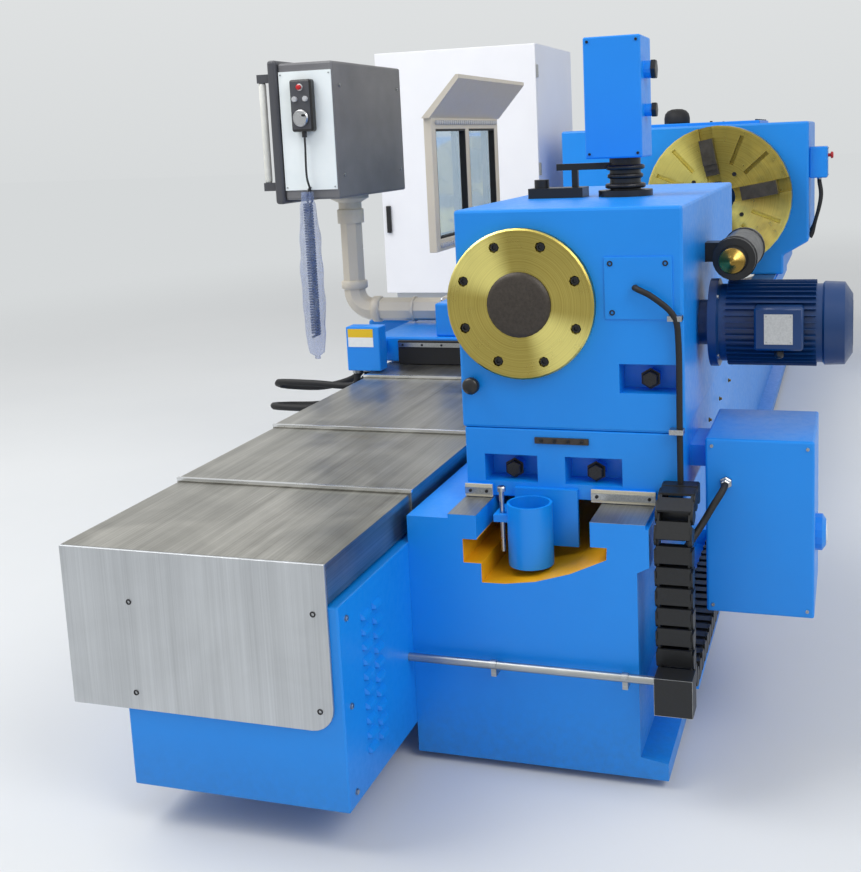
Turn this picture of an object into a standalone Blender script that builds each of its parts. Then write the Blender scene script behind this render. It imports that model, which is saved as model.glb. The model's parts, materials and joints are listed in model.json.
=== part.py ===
"""Flat-bed turning lathe with a separate tool bed, telescopic way covers and a four-jaw chuck.

Metres, +Z up.  +X runs along the spindle axis toward the tailstock, -Y is the operator's side.
The origin lies on the floor under the spindle axis.
"""
import math

import bmesh
import bpy
from mathutils import Vector

for old in list(bpy.data.objects):
    bpy.data.objects.remove(old, do_unlink=True)

# driving dimensions
GAP = 0.0003                 # clearance between faces that touch
RUN = 0.0008                 # clearance round a turning shaft
SPINDLE_Z = 1.07             # height of the spindle axis
PAD_H = 0.02                 # levelling pads
BED_X0 = -3.10               # head end of the workpiece bed
BED_X1 = 2.45                # tail end of the workpiece bed
BED_Y0 = -0.25               # face against the tool bed
BED_Y1 = 0.307               # rear edge of the deck
DECK_Z = 0.60
WAY_H = 0.01                 # ground ways stand proud of the deck
WAY_FRONT = (-0.150, -0.083)
WAY_REAR = (0.178, 0.300)
BED_SIDE = 0.28              # recessed rear wall
FOOT_Y = 0.342
FOOT_H = 0.06

TOOL_BED_X0 = -1.72
TOOL_BED_X1 = 2.29
TOOL_FOOT_Y = -0.72
TOOL_TABLE_Y = -0.86
TOOL_TABLE_Z = (0.44, 0.50)
RAIL_W = 0.05
RAIL_H = 0.03
RAIL_Y = (-0.77, -0.39)

COVER_Y = -0.58              # middle of the covers, also of the ball screw
COVER_HALF = 0.310           # half width of the lowest section
COVER_Z = 0.627              # top of the lowest section
COVER_SIDE = 0.085           # depth of its skirts
COVER_T = 0.003              # sheet
COVER_STEP_Z = 0.008
COVER_STEP_Y = 0.004
LIP_W = 0.012
LIP_PROUD = 0.001
END_PLATE_X = 2.85
END_PLATE_T = 0.008
END_PLATE_Z = 0.27
TAIL_SECTIONS = ((2.00, 2.842), (1.525, 2.375), (1.00, 1.85))
TAIL_LAST = 1.165            # lip of the section fixed to the saddle
HEAD_SECTIONS = ((-1.60, -0.60), (-1.20, -0.10))
HEAD_LAST = -0.65

CASING_X1 = 2.84
CASING_Y = (-0.76, -0.2503)
CASING_Z = (0.09, 0.535)
CASING_T = 0.003

SADDLE_X = (0.10, 0.95)
CORE_X = (0.35, 0.70)
SADDLE_Y = (-0.95, -0.22)
SADDLE_Z = (0.66, 0.75)
SLIDE_X = (0.15, 0.93)
SLIDE_Y = (-0.7123, -0.24)
SLIDE_TOP = 0.87
SCREW_R = 0.030
SCREW_Z = 0.565
X_SCREW_R = 0.016
X_SCREW_Z = 0.70
TURRET_AT = (0.50, -0.42)
TURRET_W = 0.24

CHUCK_X = (-2.00, -1.80)     # back and face of the chuck
CHUCK_R = 0.40
CHUCK_BORE = 0.09
JAW_W = 0.11
JAW_SLOT_W = 0.075
HEAD_X = (-3.10, -2.05)
HEAD_Y = (-0.945, 0.482)
HEAD_TOP = 1.475
PEDESTAL_Y = -0.94

TAIL_X = (1.20, 2.30)
TAIL_Y = (-0.156, 0.368)
TAIL_TOP = 1.285
TAIL_SPLIT = 0.775
TAIL_AXIS = (0.0, SPINDLE_Z)
QUILL_R = 0.10
FLANGE_R = 0.1735
DISC_R = 0.075

PENDANT_X = (0.29, 0.95)
PENDANT_Y = (-1.264, -1.048)
PENDANT_Z = (1.255, 1.745)
POST_AT = (0.62, -1.157)
POST_R = 0.045
ARM_Z = 0.804

CABINET_X = (-2.98, -2.05)
CABINET_Y = (-2.12, -1.09)
CABINET_Z = (0.505, 2.00)

BLUE = "1E94EE"
DEEP_BLUE = "1A84D8"
NAVY = "123A66"
YELLOW = "E5A812"
GOLD = "B59A35"
DARK = "3A3430"
STAINLESS = "A8A69E"
CREAM = "C8C4B0"
BLACK = "151516"
GREY = "6E6E72"
WHITE = "F2F3F7"
STEEL = "9A9C9E"

WAY_Z = DECK_Z + WAY_H

parts = bpy.data.collections.new("cnc_turning_lathe")
tools = bpy.data.collections.new("cutters")
bpy.context.scene.collection.children.link(parts)
bpy.context.scene.collection.children.link(tools)


def linear(value):
    return value / 12.92 if value <= 0.04045 else ((value + 0.055) / 1.055) ** 2.4


def paint(ob, colour, rough=0.4, metal=0.0):
    """Give a piece its own Principled BSDF from an sRGB hex colour."""
    mat = bpy.data.materials.new(ob.name)
    mat.use_nodes = True
    shader = mat.node_tree.nodes["Principled BSDF"]
    rgb = [linear(int(colour[i:i + 2], 16) / 255) for i in (0, 2, 4)]
    shader.inputs["Base Color"].default_value = (*rgb, 1.0)
    shader.inputs["Roughness"].default_value = rough
    shader.inputs["Metallic"].default_value = metal
    ob.data.materials.clear()
    ob.data.materials.append(mat)
    return ob


def link(ob):
    parts.objects.link(ob)
    return ob


def block(name, x, y, z, bevel=0.0, segments=2):
    """A box between two corners, its edges rounded by a Bevel modifier."""
    mesh = bpy.data.meshes.new(name)
    bm = bmesh.new()
    bmesh.ops.create_cube(bm, size=1.0)
    bmesh.ops.scale(bm, vec=(x[1] - x[0], y[1] - y[0], z[1] - z[0]), verts=bm.verts)
    bm.to_mesh(mesh)
    bm.free()
    ob = link(bpy.data.objects.new(name, mesh))
    ob.location = ((x[0] + x[1]) / 2, (y[0] + y[1]) / 2, (z[0] + z[1]) / 2)
    if bevel:
        round_edges(ob, bevel, segments)
    return ob


def round_edges(ob, width, segments=2):
    mod = ob.modifiers.new("Bevel", "BEVEL")
    mod.width = width
    mod.segments = segments
    mod.limit_method = "ANGLE"
    mod.angle_limit = math.radians(40)
    return ob


TURN = {"X": (0.0, math.pi / 2, 0.0), "Y": (-math.pi / 2, 0.0, 0.0), "Z": (0.0, 0.0, 0.0),
        "-X": (0.0, -math.pi / 2, 0.0), "-Y": (math.pi / 2, 0.0, 0.0), "-Z": (math.pi, 0.0, 0.0)}


def turned(name, profile, axis="Z", at=(0, 0, 0), steps=32, smooth=True, ring=False):
    """Revolve a profile of (radius, height) points, listed from the top down, about an axis."""
    mesh = bpy.data.meshes.new(name)
    bm = bmesh.new()
    verts = [bm.verts.new((r, 0.0, h)) for r, h in profile]
    for a, b in zip(verts, verts[1:]):
        bm.edges.new((a, b))
    if ring:
        bm.edges.new((verts[-1], verts[0]))
    bm.to_mesh(mesh)
    bm.free()
    ob = link(bpy.data.objects.new(name, mesh))
    ob.location = at
    ob.rotation_euler = TURN[axis]
    mod = ob.modifiers.new("Screw", "SCREW")
    mod.axis = "Z"
    mod.steps = steps
    mod.render_steps = steps
    mod.use_merge_vertices = True
    mod.merge_threshold = 0.00001
    mod.use_smooth_shade = smooth
    return ob


def rod(name, axis, at, radius, low, high, steps=24, chamfer=0.0):
    """A plain round bar along an axis through a point, between two heights along it."""
    c = chamfer
    profile = [(0.0, high), (radius - c, high), (radius, high - c), (radius, low + c), (radius - c, low), (0.0, low)]
    if not c:
        profile = [(0.0, high), (radius, high), (radius, low), (0.0, low)]
    return turned(name, profile, axis, at, steps)


def from_curve(curve_ob, flat=False):
    """Turn a curve object into a welded mesh object in the same place; a flat outline gets whole end faces."""
    bpy.context.view_layer.update()
    graph = bpy.context.evaluated_depsgraph_get()
    mesh = bpy.data.meshes.new_from_object(curve_ob.evaluated_get(graph))
    bm = bmesh.new()
    bm.from_mesh(mesh)
    bmesh.ops.remove_doubles(bm, verts=bm.verts, dist=0.00001)
    if flat:
        ends = [f for f in bm.faces if max(v.co.z for v in f.verts) - min(v.co.z for v in f.verts) < 1e-6]
        bmesh.ops.delete(bm, geom=ends, context="FACES_ONLY")
        bmesh.ops.holes_fill(bm, edges=[e for e in bm.edges if e.is_boundary], sides=0)
    bmesh.ops.recalc_face_normals(bm, faces=bm.faces)
    bm.to_mesh(mesh)
    bm.free()
    name = curve_ob.name
    curve_ob.name = name + "_curve"
    ob = bpy.data.objects.new(name, mesh)
    ob.matrix_world = curve_ob.matrix_world.copy()
    bpy.data.objects.remove(curve_ob, do_unlink=True)
    return link(ob)


FLAT = {"X": (math.pi / 2, 0.0, math.pi / 2), "Y": (math.pi / 2, 0.0, 0.0), "Z": (0.0, 0.0, 0.0)}


def plate(name, axis, low, high, outline, holes=(), bevel=0.0):
    """Extrude a flat outline between two positions along an axis.

    The outline is (Y, Z) for axis X, (X, Z) for axis Y and (X, Y) for axis Z.
    """
    curve = bpy.data.curves.new(name, "CURVE")
    curve.dimensions = "2D"
    curve.fill_mode = "BOTH"
    curve.extrude = (high - low) / 2
    for points in (outline, *holes):
        spline = curve.splines.new("POLY")
        spline.points.add(len(points) - 1)
        for p, (u, v) in zip(spline.points, points):
            p.co = (u, v, 0.0, 1.0)
        spline.use_cyclic_u = True
    ob = link(bpy.data.objects.new(name, curve))
    middle = (low + high) / 2
    ob.rotation_euler = FLAT[axis]
    ob.location = {"X": (middle, 0, 0), "Y": (0, middle, 0), "Z": (0, 0, middle)}[axis]
    ob = from_curve(ob, flat=not holes)
    if bevel:
        round_edges(ob, bevel)
    return ob


def tube(name, points, radius, resolution=2, solid=False):
    """A round bar or hose along points, with closed ends."""
    curve = bpy.data.curves.new(name, "CURVE")
    curve.dimensions = "3D"
    curve.bevel_depth = radius
    curve.bevel_resolution = resolution
    curve.use_fill_caps = True
    spline = curve.splines.new("POLY")
    spline.points.add(len(points) - 1)
    for p, co in zip(spline.points, points):
        p.co = (*co, 1.0)
    ob = link(bpy.data.objects.new(name, curve))
    return from_curve(ob) if solid else ob


def smooth_path(points, count):
    """Evenly spaced points on a smooth curve through the given ones."""
    pts = [Vector(p) for p in points]
    pts = [2 * pts[0] - pts[1], *pts, 2 * pts[-1] - pts[-2]]
    dense = []
    for a, b, c, d in zip(pts, pts[1:], pts[2:], pts[3:]):
        for i in range(24):
            t = i / 24
            dense.append(0.5 * (2 * b + (c - a) * t + (2 * a - 5 * b + 4 * c - d) * t ** 2
                                + (3 * b - a - 3 * c + d) * t ** 3))
    dense.append(pts[-2])
    lengths = [0.0]
    for a, b in zip(dense, dense[1:]):
        lengths.append(lengths[-1] + (b - a).length)
    out = []
    for i in range(count):
        want = lengths[-1] * i / (count - 1)
        k = max(j for j, s in enumerate(lengths) if s <= want + 1e-9)
        k = min(k, len(dense) - 2)
        part = (want - lengths[k]) / max(lengths[k + 1] - lengths[k], 1e-9)
        out.append(dense[k].lerp(dense[k + 1], min(part, 1.0)))
    return out


def square_ends(path, first, last):
    """Make the end segments of a path run exactly along two directions."""
    a = (path[1] - path[0]).length
    b = (path[-1] - path[-2]).length
    path[1] = path[0] + Vector(first) * a
    path[-2] = path[-1] - Vector(last) * b
    return path


def as_tool(ob):
    """Move a helper shape to the cutters, where it isn't part of the lathe."""
    for owner in list(ob.users_collection):
        owner.objects.unlink(ob)
    tools.objects.link(ob)
    ob.hide_render = True
    ob.display_type = "WIRE"
    return ob


def cut(ob, *cutters):
    for cutter in cutters:
        mod = ob.modifiers.new("Cut", "BOOLEAN")
        mod.operation = "DIFFERENCE"
        mod.solver = "EXACT"
        mod.object = as_tool(cutter)
    return ob


def join(ob, *others):
    for other in others:
        mod = ob.modifiers.new("Join", "BOOLEAN")
        mod.operation = "UNION"
        mod.solver = "EXACT"
        mod.object = as_tool(other)
    return ob


def carrier(name, at, *children):
    """An empty on a joint's axis that carries the moving pieces."""
    empty = bpy.data.objects.new(name, None)
    empty.location = at
    parts.objects.link(empty)
    for child in children:
        child.parent = empty
        child.matrix_parent_inverse.translation = -Vector(at)
    return empty


def arc(cx, cy, radius, start, end, count):
    """Points on an arc, angles in degrees, both ends included."""
    out = []
    for i in range(count + 1):
        a = math.radians(start + (end - start) * i / count)
        out.append((cx + radius * math.cos(a), cy + radius * math.sin(a)))
    return out


def boxes(name, corners):
    """Several boxes in one mesh, each given as three ranges."""
    mesh = bpy.data.meshes.new(name)
    bm = bmesh.new()
    for x, y, z in corners:
        made = bmesh.ops.create_cube(bm, size=1.0)["verts"]
        bmesh.ops.scale(bm, vec=(x[1] - x[0], y[1] - y[0], z[1] - z[0]), verts=made)
        bmesh.ops.translate(bm, vec=((x[0] + x[1]) / 2, (y[0] + y[1]) / 2, (z[0] + z[1]) / 2), verts=made)
    bm.to_mesh(mesh)
    bm.free()
    return link(bpy.data.objects.new(name, mesh))


def discs(name, axis, centres, radius, low, high, sides=16):
    """Several equal cylinders in one mesh, along an axis, at (u, v) centres across it."""
    mesh = bpy.data.meshes.new(name)
    bm = bmesh.new()
    for u, v in centres:
        made = bmesh.ops.create_cone(bm, cap_ends=True, segments=sides, radius1=radius, radius2=radius,
                                     depth=high - low)["verts"]
        bmesh.ops.translate(bm, vec=(u, v, 0.0), verts=made)
    bm.to_mesh(mesh)
    bm.free()
    ob = link(bpy.data.objects.new(name, mesh))
    middle = (low + high) / 2
    ob.rotation_euler = FLAT[axis]
    ob.location = {"X": (middle, 0, 0), "Y": (0, middle, 0), "Z": (0, 0, middle)}[axis]
    return ob


def ring_of(count, radius, u=0.0, v=0.0, start=0.0):
    """Centres spaced evenly on a circle."""
    step = 2 * math.pi / count
    first = math.radians(start)
    return [(u + radius * math.cos(first + step * i), v + radius * math.sin(first + step * i)) for i in range(count)]


def spread(low, high, count):
    """Evenly spaced values from low to high."""
    return [low + (high - low) * i / (count - 1) for i in range(count)]


# workpiece bed: one casting with two raised ground ways and an open trough between them
trough_floor = [(0.213, 0.525), (0.130, 0.487), (0.050, 0.463), (-0.020, 0.453), (-0.075, 0.452)]
bed_outline = [
    (BED_Y0, PAD_H), (FOOT_Y, PAD_H), (FOOT_Y, FOOT_H), (BED_SIDE, FOOT_H + 0.01),
    (BED_SIDE, DECK_Z - 0.10), (BED_Y1, DECK_Z - 0.086), (BED_Y1, DECK_Z), (WAY_REAR[1], DECK_Z),
    (WAY_REAR[1], WAY_Z), (WAY_REAR[0], WAY_Z), (WAY_REAR[0], DECK_Z - 0.047), (0.215, DECK_Z - 0.047),
    *trough_floor,
    (-0.075, DECK_Z - 0.103), (-0.117, DECK_Z - 0.103), (-0.117, DECK_Z - 0.047),
    (WAY_FRONT[1], DECK_Z - 0.047), (WAY_FRONT[1], WAY_Z), (WAY_FRONT[0], WAY_Z), (WAY_FRONT[0], DECK_Z),
    (BED_Y0, DECK_Z),
]
bed = plate("workpiece_bed", "X", BED_X0, BED_X1, bed_outline)
pad_x = spread(BED_X0 + 0.15, BED_X1 - 0.15, 6)
pad_places = [(x, y) for x in pad_x for y in (BED_Y0 + 0.07, FOOT_Y - 0.06)] + [(0.0, 0.0)]
join(bed, discs("bed_pads", "Z", pad_places, 0.05, 0.0, PAD_H + 0.002, 8))
paint(bed, BLUE, 0.35)

# tool bed: foot, overhanging table and two rails for the carriage
table = TOOL_TABLE_Z
rail = RAIL_W / 2
tool_outline = [
    (TOOL_FOOT_Y, PAD_H), (BED_Y0 - GAP, PAD_H), (BED_Y0 - GAP, table[1]),
    (RAIL_Y[1] + rail, table[1]), (RAIL_Y[1] + rail - 0.008, table[1] + 0.012),
    (RAIL_Y[1] + rail, table[1] + RAIL_H), (RAIL_Y[1] - rail, table[1] + RAIL_H),
    (RAIL_Y[1] - rail + 0.008, table[1] + 0.012), (RAIL_Y[1] - rail, table[1]),
    (RAIL_Y[0] + rail, table[1]), (RAIL_Y[0] + rail - 0.008, table[1] + 0.012),
    (RAIL_Y[0] + rail, table[1] + RAIL_H), (RAIL_Y[0] - rail, table[1] + RAIL_H),
    (RAIL_Y[0] - rail + 0.008, table[1] + 0.012), (RAIL_Y[0] - rail, table[1]),
    (TOOL_TABLE_Y, table[1]), (TOOL_TABLE_Y, table[0]), (TOOL_FOOT_Y, table[0] - 0.06),
]
tool_bed = plate("tool_bed", "X", TOOL_BED_X0, TOOL_BED_X1, tool_outline)
pad_places = [(x, y) for x in spread(TOOL_BED_X0 + 0.15, TOOL_BED_X1 - 0.15, 5)
              for y in (TOOL_FOOT_Y + 0.07, BED_Y0 - 0.07)]
join(tool_bed, discs("tool_bed_pads", "Z", pad_places, 0.05, 0.0, PAD_H + 0.002, 8))
pocket_x = spread(TOOL_BED_X0 + 0.45, TOOL_BED_X1 - 0.45, 4)
cut(tool_bed, boxes("tool_bed_windows", [((x - 0.16, x + 0.16), (TOOL_FOOT_Y - 0.01, TOOL_FOOT_Y + 0.03),
                                          (PAD_H + 0.07, table[0] - 0.12)) for x in pocket_x]))
paint(tool_bed, BLUE, 0.35)

# end casing of the tool bed, with two columns of pressed louvres
plate_x = (END_PLATE_X - END_PLATE_T, END_PLATE_X)
casing_x = (TOOL_BED_X1 + GAP, plate_x[0] - GAP)
casing = block("tool_bed_end_casing", casing_x, CASING_Y, CASING_Z, 0.004)
louvres = []
for column in (2.655, 2.715):
    for z in spread(CASING_Z[0] + 0.075, CASING_Z[1] - 0.073, 10):
        louvres.append(((column - 0.018, column + 0.018), (CASING_Y[1] - 0.006, CASING_Y[1] + 0.004), (z, z + 0.009)))
louvre_cut = boxes("louvre_slots", louvres)
cut(casing, louvre_cut)
paint(casing, BLUE, 0.35)

# end plate that closes the lowest cover, its lower rear corner rounded
low_y = COVER_Y - COVER_HALF
high_y = COVER_Y + COVER_HALF
end_plate = plate("cover_end_plate", "X", plate_x[0], plate_x[1], [
    (low_y, END_PLATE_Z), *arc(high_y - 0.05, END_PLATE_Z + 0.05, 0.05, 270, 360, 6),
    (high_y, COVER_Z), (low_y, COVER_Z)], bevel=0.0015)
paint(end_plate, STAINLESS, 0.3, 1.0)


def channel(half, top, thick, side):
    """Outline of a sheet channel that is open below."""
    a = COVER_Y - half
    b = COVER_Y + half
    return [(a, top - side), (a + thick, top - side), (a + thick, top - thick), (b - thick, top - thick),
            (b - thick, top - side), (b, top - side), (b, top), (a, top)]


def cover(name, x0, x1, level, lip):
    """One telescopic section; its lip wipes the top of the section below."""
    half = COVER_HALF + level * COVER_STEP_Y
    top = COVER_Z + level * COVER_STEP_Z
    if not lip:
        return paint(plate(name, "X", x0, x1, channel(half, top, COVER_T, COVER_SIDE)), STAINLESS, 0.3, 1.0)
    toward = 1 if lip == x1 else -1
    ends = (x0, x1 - 0.001) if toward > 0 else (x0 + 0.001, x1)
    sheet = plate(name, "X", ends[0], ends[1], channel(half, top, COVER_T, COVER_SIDE))
    a = COVER_Y - half
    b = COVER_Y + half
    step_y = COVER_STEP_Y - GAP
    step_z = COVER_STEP_Z - GAP
    bottom = top - COVER_SIDE - LIP_PROUD
    band = [(a - LIP_PROUD, bottom), (a + step_y, bottom), (a + step_y, top - step_z), (b - step_y, top - step_z),
            (b - step_y, bottom), (b + LIP_PROUD, bottom), (b + LIP_PROUD, top + LIP_PROUD),
            (a - LIP_PROUD, top + LIP_PROUD)]
    span = (lip - LIP_W, lip) if toward > 0 else (lip, lip + LIP_W)
    join(sheet, plate(name + "_lip", "X", span[0], span[1], band))
    return paint(sheet, STAINLESS, 0.3, 1.0)


tail_cover_fixed = cover("tail_cover_fixed", TAIL_SECTIONS[0][0], casing_x[1], 0, None)
tail_cover_1 = cover("tail_cover_1", *TAIL_SECTIONS[1], 1, TAIL_SECTIONS[1][1])
tail_cover_2 = cover("tail_cover_2", *TAIL_SECTIONS[2], 2, TAIL_SECTIONS[2][1])
tail_cover_3 = cover("tail_cover_3", CORE_X[1] + GAP, TAIL_LAST, 3, TAIL_LAST)
head_cover_fixed = cover("head_cover_fixed", *HEAD_SECTIONS[0], 0, None)
head_cover_1 = cover("head_cover_1", *HEAD_SECTIONS[1], 1, HEAD_SECTIONS[1][0])
head_cover_2 = cover("head_cover_2", HEAD_LAST, CORE_X[0] - GAP, 2, HEAD_LAST)
for ob in (tail_cover_1, tail_cover_2, tail_cover_3, head_cover_1, head_cover_2):
    carrier(ob.name + "_slide", (0.0, COVER_Y, COVER_Z), ob)

# end bracket that carries the fixed head-side section
head_bracket = plate("head_cover_bracket", "X", HEAD_SECTIONS[0][0] - 0.02, HEAD_SECTIONS[0][0] - GAP, [
    (low_y, table[1] - 0.01), (high_y - 0.012, table[1] - 0.01), (high_y, table[1] + 0.02),
    (high_y, COVER_Z), (low_y, COVER_Z)], bevel=0.002)
join(tool_bed, head_bracket)

# ball screw of the long axis, its two bearing blocks and its motor, all under the covers
HEAD_BEARING_X = (-1.56, -1.48)
TAIL_BEARING_X = (1.80, 1.88)
MOTOR_X = (1.93, 2.17)
MOTOR_W = 0.11
screw = turned("z_ball_screw", [
    (0.0, MOTOR_X[0] - 0.012), (0.012, MOTOR_X[0] - 0.012), (0.012, TAIL_BEARING_X[1] + 0.01),
    (0.02, TAIL_BEARING_X[1] + 0.01), (0.02, TAIL_BEARING_X[0] - 0.01), (SCREW_R, TAIL_BEARING_X[0] - 0.01),
    (SCREW_R, HEAD_BEARING_X[1] + 0.01), (0.02, HEAD_BEARING_X[1] + 0.01),
    (0.02, HEAD_BEARING_X[0] + 0.01), (0.0, HEAD_BEARING_X[0] + 0.01)], "X", (0, COVER_Y, SCREW_Z), 16)
paint(screw, STEEL, 0.25, 1.0)
for name, span in (("screw_bearing_head", HEAD_BEARING_X), ("screw_bearing_tail", TAIL_BEARING_X)):
    bearing = block(name, span, (COVER_Y - 0.07, COVER_Y + 0.07), (table[1] - 0.004, SCREW_Z + 0.05), 0.003, 1)
    join(tool_bed, bearing)
    cut(tool_bed, rod(name + "_bore", "X", (0, COVER_Y, SCREW_Z), 0.02 + RUN, span[0] - 0.02, span[1] + 0.02, 16))
half_w = MOTOR_W / 2
z_motor = block("z_servo_motor", MOTOR_X, (COVER_Y - half_w, COVER_Y + half_w),
                (SCREW_Z - half_w, SCREW_Z + half_w), 0.01, 2)
join(tool_bed, z_motor, boxes("z_motor_foot", [((MOTOR_X[0] + 0.01, MOTOR_X[0] + 0.03), (COVER_Y - 0.08, COVER_Y + 0.08),
                                                (table[1] - 0.01, SCREW_Z - 0.02))]))

# saddle: a core that rides the rails between the covers, under a wide slab
rail_top = table[1] + RAIL_H
saddle = block("carriage_saddle", SADDLE_X, SADDLE_Y, SADDLE_Z, 0.006, 2)
join(saddle, boxes("saddle_core", [(CORE_X, (RAIL_Y[0] - 0.09, RAIL_Y[1] + 0.09),
                                    (rail_top + GAP, SADDLE_Z[0] + 0.01))]))
NUT_WALL = 0.08              # wall of the core that holds the nut's flange
nut_x = CORE_X[1] - NUT_WALL
cut(saddle,
    boxes("nut_pocket", [((CORE_X[0] - 0.01, nut_x), (COVER_Y - 0.06, COVER_Y + 0.06), (rail_top - 0.01, 0.63))]),
    boxes("screw_slot", [((nut_x - 0.02, CORE_X[1] + 0.01), (COVER_Y - SCREW_R - 0.002, COVER_Y + SCREW_R + 0.002),
                          (rail_top - 0.02, SCREW_Z + SCREW_R + 0.002))]),
    boxes("x_screw_channel", [((TURRET_AT[0] - 0.04, TURRET_AT[0] + 0.04), (SADDLE_Y[0] + 0.03, SADDLE_Y[1] - 0.015),
                               (X_SCREW_Z - 0.022, SADDLE_Z[1] + 0.01))]),
    rod("x_screw_hole", "Y", (TURRET_AT[0], 0, X_SCREW_Z), 0.010 + RUN, SADDLE_Y[0] - 0.01, SADDLE_Y[0] + 0.05, 16))
paint(saddle, BLUE, 0.35)
join(saddle, turned("z_ball_nut", [
    (0.052, nut_x + 0.002), (0.052, nut_x - 0.018), (0.044, nut_x - 0.018), (0.044, CORE_X[0] + 0.06),
    (SCREW_R + RUN, CORE_X[0] + 0.06), (SCREW_R + RUN, nut_x + 0.002)], "X", (0, COVER_Y, SCREW_Z), 20, ring=True))
cut(saddle, boxes("nut_flat", [((CORE_X[0] - 0.01, CORE_X[1] + 0.01), (COVER_Y - 0.08, COVER_Y + 0.08),
                                (SCREW_Z - 0.07, rail_top - 0.01))]))
SKIRT_T = 0.012
skirt_tail = block("saddle_skirt_tail", (SADDLE_X[1] + GAP, SADDLE_X[1] + SKIRT_T), (-0.85, SADDLE_Y[1] - 0.01),
                   (COVER_Z + 3 * COVER_STEP_Z + LIP_PROUD + GAP, SADDLE_Z[1] - 0.01), 0.003, 1)
skirt_head = block("saddle_skirt_head", (SADDLE_X[0] - SKIRT_T, SADDLE_X[0] + 0.004), (-0.91, SADDLE_Y[1] - 0.01),
                   (COVER_Z + 2 * COVER_STEP_Z + LIP_PROUD + GAP, SADDLE_Z[1] - 0.01), 0.003, 1)
paint(skirt_tail, BLACK, 0.7)
join(saddle, skirt_head)

# connection box in front of the saddle, on a small bracket, with two conduit loops
APRON_X = (1.05, 1.115)
APRON_Y = (-0.983, -0.857)
APRON_Z = (0.656, 0.813)
apron = block("apron_box", APRON_X, APRON_Y, APRON_Z, 0.004, 2)
join(apron, boxes("apron_bracket", [((SADDLE_X[1] + GAP, APRON_X[0] + 0.004), (-0.94, -0.895), (0.69, 0.738))]))
paint(apron, BLUE, 0.35)
HOSE_R = 0.0125
loop_routes = {
    "conduit_loop_upper": [(1.066, -0.93, APRON_Z[0] - GAP), (1.066, -0.937, 0.622), (1.062, -1.0, 0.590),
                           (1.055, -1.15, 0.594), (1.03, -1.29, 0.590), (1.0, -1.322, 0.577), (0.97, -1.29, 0.563),
                           (0.955, -1.15, 0.562), (0.93, -1.03, 0.60), (0.905, -0.985, 0.685),
                           (0.90, SADDLE_Y[0] - GAP, 0.705)],
    "conduit_loop_lower": [(1.10, -0.955, APRON_Z[0] - GAP), (1.10, -0.962, 0.60), (1.095, -1.03, 0.532),
                           (1.085, -1.15, 0.509), (1.06, -1.30, 0.503), (1.02, -1.333, 0.498), (0.98, -1.30, 0.492),
                           (0.95, -1.15, 0.497), (0.90, -1.03, 0.545), (0.85, -0.985, 0.675),
                           (0.845, SADDLE_Y[0] - GAP, 0.705)],
}
loops = []
for name, route in loop_routes.items():
    loops.append(paint(tube(name, square_ends(smooth_path(route, 26), (0, 0, -1), (0, 1, 0)), HOSE_R, 2), BLACK, 0.6))

# cross slide with T-slots, its screw and its motor
NUT_Y = (-0.62, -0.54)
slide = block("cross_slide", SLIDE_X, SLIDE_Y, (SADDLE_Z[1] + GAP, SLIDE_TOP), 0.006, 2)
join(slide, boxes("x_nut", [((TURRET_AT[0] - 0.03, TURRET_AT[0] + 0.03), NUT_Y,
                             (X_SCREW_Z - 0.021, SADDLE_Z[1] + 0.02))]))
cut(slide, rod("x_nut_bore", "Y", (TURRET_AT[0], 0, X_SCREW_Z), X_SCREW_R + RUN, NUT_Y[0] - 0.05, NUT_Y[1] + 0.05, 16))
T_NECK = 0.009
T_HEAD = 0.016
for i, y in enumerate((-0.62, SLIDE_Y[1] - 0.035)):
    cut(slide, plate("t_slot_%d" % (i + 1), "X", SLIDE_X[0] - 0.01, SLIDE_X[1] + 0.01, [
        (y - T_NECK, SLIDE_TOP + 0.01), (y - T_NECK, SLIDE_TOP - 0.018), (y - T_HEAD, SLIDE_TOP - 0.018),
        (y - T_HEAD, SLIDE_TOP - 0.032), (y + T_HEAD, SLIDE_TOP - 0.032), (y + T_HEAD, SLIDE_TOP - 0.018),
        (y + T_NECK, SLIDE_TOP - 0.018), (y + T_NECK, SLIDE_TOP + 0.01)]))
paint(slide, BLUE, 0.35)
x_screw = turned("x_ball_screw", [
    (0.0, SADDLE_Y[1] - 0.018), (X_SCREW_R, SADDLE_Y[1] - 0.018), (X_SCREW_R, SADDLE_Y[0] + 0.032),
    (0.010, SADDLE_Y[0] + 0.032), (0.010, SADDLE_Y[0] + 0.005), (0.0, SADDLE_Y[0] + 0.005)],
    "Y", (TURRET_AT[0], 0, X_SCREW_Z), 16)
paint(x_screw, STEEL, 0.25, 1.0)
x_motor = block("x_servo_motor", (TURRET_AT[0] - 0.047, TURRET_AT[0] + 0.047), (SADDLE_Y[0] - 0.19, SADDLE_Y[0] + 0.004),
                (X_SCREW_Z - 0.047, X_SCREW_Z + 0.047), 0.01, 2)
join(saddle, x_motor)

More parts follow.
